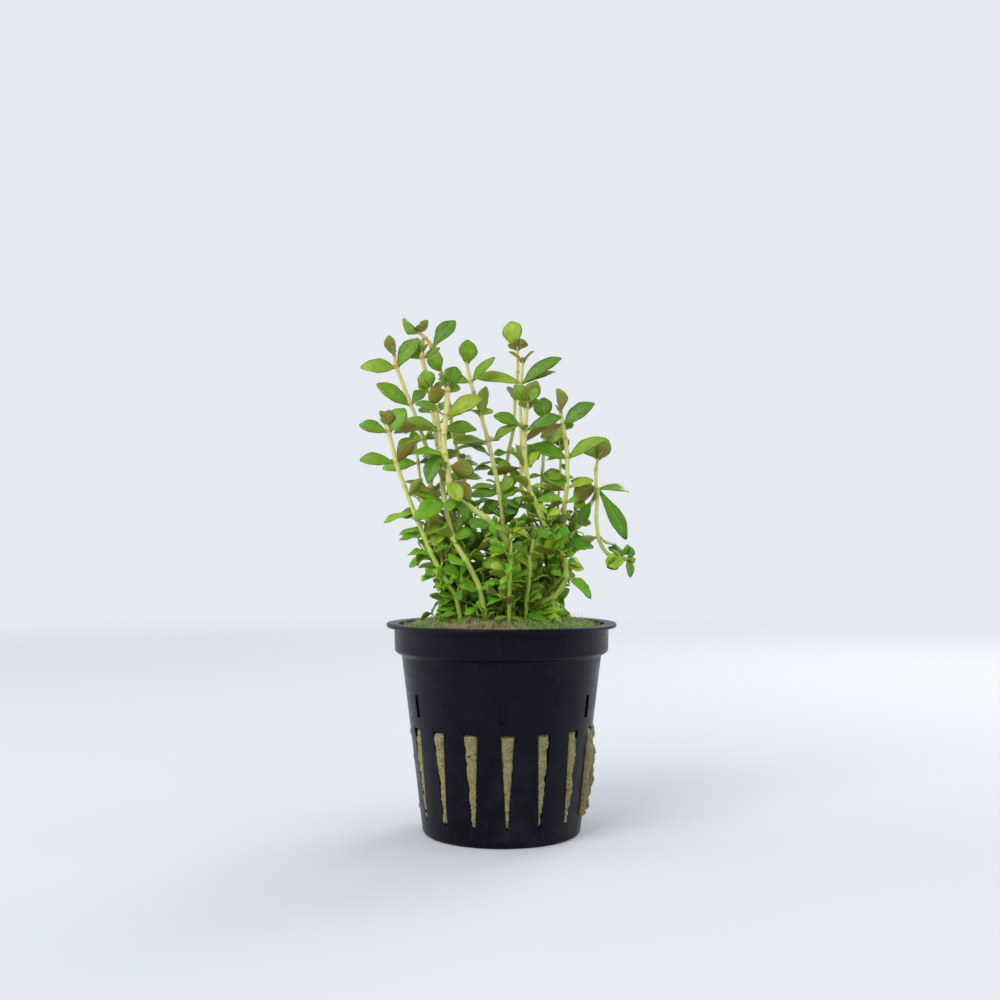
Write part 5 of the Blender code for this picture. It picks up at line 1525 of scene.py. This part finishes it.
# %% Grow the shoots
blade_faces = 0
twigs = 0
fillers = 0
for number, stem in enumerate(stems):
    chance = random.Random(100 + number)
    mesh = bmesh.new()
    tone_layer(mesh)
    mesh.loops.layers.uv.new("blade")
    draw_rod(mesh, stem_places(stem, chance.random()), STEM_SIDES)
    for index, leaves in enumerate(stem.grown):
        height = stem.points[index].z
        for place in leaves:
            if place.lean == 0:
                place.roll(math.radians(chance.gauss(0, 24)))
            elif abs(place.lean) < 55:
                place.turn_to_viewer(18)
            youth = max(0.0, min(1.0, (height - 52) / 50 + chance.gauss(0, 0.12)))
            bronze = 0.75 if place.lean < 0 else chance.random() * 0.5
            # Low traced leaves take a painted shade from their place, and those far to the right low down get a
            # darker painted shade.
            shade = chance.random() if height > 66 else min(0.5, painted_shade_and_light_at(stem.points[index], chance))
            if stem.points[index].x > 21 and height < 84:
                shade = 0.3 * chance.random()
            if place.line.length > 12:
                place.turn_to_viewer(20)
                place.width *= 0.85
            rows = 11 if place.line.length > 6.5 else 8
            blade_faces += grow_blade(mesh, place, chance, youth, bronze, rows, luck=shade)
    for name, up, shade, (reach, width, lean) in MORE_LEAVES:
        if name == stem.name:
            place = LeafPlace(*stem.at_height(up), reach, width, lean)
            bronze = 0.8 if lean < 0 else 0.2
            youth = max(0.0, min(1.0, (up - 52) / 50))
            blade_faces += grow_blade(mesh, place, chance, youth, bronze, luck=shade)
    grow_bud(mesh, stem, chance)
    for index in range(1, len(stem.points) - 1):
        point, direction = stem.points[index], stem.directions[index]
        if point.z > TWIG_TOP or stem.points[0].z > TWIG_TOP:
            break
        for _ in range(chance.choice((1, 2, 2))):
            grow_twig(mesh, point, direction, 0.26, chance.uniform(0, math.tau), chance)
            twigs += 1
    for index in range(len(stem.points) - 1):
        if stem.points[index].z < FILLER_TOP and stem.points[0].z < TWIG_TOP:
            fillers += grow_filler(mesh, stem, index, chance)
    grown = as_object(f"{stem.name}_grown", mesh, [stem_skin, leaf_skin])
    piece(grown, "shoots", stem.name)
print(blade_faces, "faces in the traced leaves,", twigs, "twigs and", fillers, "filling leaves")

# %% [markdown]
# Between the stems' feet the bunch is a tangle of short sprigs whose leaves are painted dark as shade,
# some thin stems on the right whose few leaves are painted light, and a few leaves that lie on the
# wool, each with its own painted shade and light. No solid stands for these. They are one piece.

# %% Sprigs at the foot
SPRIGS = 62


def grow_sprig(mesh, foot, height, girth, shade, chance, leafy=1.0):
    """A short upright side shoot from the wool, with small ragged leaves in pairs."""
    heading = Vector((chance.gauss(0, 0.25), chance.gauss(0, 0.25), 1)).normalized()
    places, luck = [], chance.random()
    spacing = chance.uniform(1.5, 2.2)
    count = max(2, round(height / spacing))
    for number in range(count + 1):
        sway = Vector((chance.gauss(0, 0.12), chance.gauss(0, 0.12), 0))
        centre = foot + heading * spacing * number + sway
        places.append((centre, girth * (1 - 0.4 * number / count), (0.12, 0.3, luck, 0)))
    draw_rod(mesh, places, 5)
    turn = chance.uniform(0, math.tau)
    for centre, _, _ in places[1:]:
        for half in (0, math.pi):
            if chance.random() > leafy:
                continue
            # The leaves take their painted shade and light from shade, with a little chance.
            length = chance.uniform(2.4, 4.4)
            small_leaf(
                mesh, centre, heading, girth * 0.8, turn + half, math.radians(chance.uniform(-30, 55)), length,
                length * chance.uniform(0.34, 0.55), chance, chance.uniform(0.0, 0.2), chance.gauss(0, 45),
                max(0.0, min(1.0, chance.gauss(shade, 0.16))),
            )
        turn += math.pi / 2 + chance.gauss(0, 0.3)


chance = random.Random(41)
mesh = bmesh.new()
tone_layer(mesh)
mesh.loops.layers.uv.new("blade")
# Sprigs between the feet: leaves with dark painted shade.
for number in range(SPRIGS):
    across, back = chance.uniform(-9.5, 7.5), chance.uniform(-8.5, 10.5)
    foot = Vector((across, back, mound(across, back) - 0.6))
    grow_sprig(mesh, foot, chance.uniform(3.5, 9.0), 0.3, 0.14, chance)
# Thin stems on the right: few leaves, with yellow painted light.
for number in range(9):
    across, back = chance.uniform(4.5, 13.0), chance.uniform(-5.0, 8.0)
    foot = Vector((across, back, mound(across, back) - 0.6))
    grow_sprig(mesh, foot, chance.uniform(7.0, 13.0), 0.42, 0.75, chance, 0.35)
for number in range(14):
    angle = chance.uniform(0, math.tau)
    across, back = math.cos(angle) * chance.uniform(10, 17), math.sin(angle) * chance.uniform(9, 16)
    foot = Vector((across, back, mound(across, back) - 0.5))
    grow_sprig(mesh, foot, chance.uniform(1.8, 4.0), 0.24, 0.4, chance)
# The last number of each lying leaf is its painted shade and light, from dark to yellow.
LYING_LEAVES = (
    ((5.0, -9.0, 52.6), (6.6, -1.0, -1.6), 2.6, 0.2),
    ((9.6, -8.0, 53.2), (4.4, -1.4, -1.0), 3.0, 0.95),
    ((10.2, -8.6, 52.9), (3.6, -3.0, -2.2), 1.5, 0.85),
    ((12.3, -5.0, 54.4), (2.8, 0.4, -0.8), 1.1, 0.05),
    ((-10.6, -6.0, 54.6), (-4.4, -0.6, 0.8), 1.5, 0.1),
    ((-10.8, -6.4, 53.4), (-4.2, 0.4, 0.1), 1.6, 0.25),
    ((-9.4, -7.0, 52.6), (-4.8, -0.6, -0.6), 1.4, 0.15),
)
for start, reach, width, shade in LYING_LEAVES:
    place = LeafPlace(Vector(start), Vector((0, 0, 1)), 0.2, Vector(reach), width, 45)
    grow_blade(mesh, place, chance, 0.1, 0.2, rows=10, luck=shade)
piece(as_object("thicket", mesh, [stem_skin, leaf_skin]), "shoots")

# %% [markdown]
# The finish of a solid shows nowhere, because every solid now has a finer piece in its place.
# The two boxes are printed, so that the sizes can be compared.

# %% Print the sizes and finish
dressed_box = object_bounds()
boxes = {"solid": solid_box, "dressed": dressed_box}
plain = {name: [list(map(float, corner)) for corner in box] for name, box in boxes.items()}
print(json.dumps(plain))
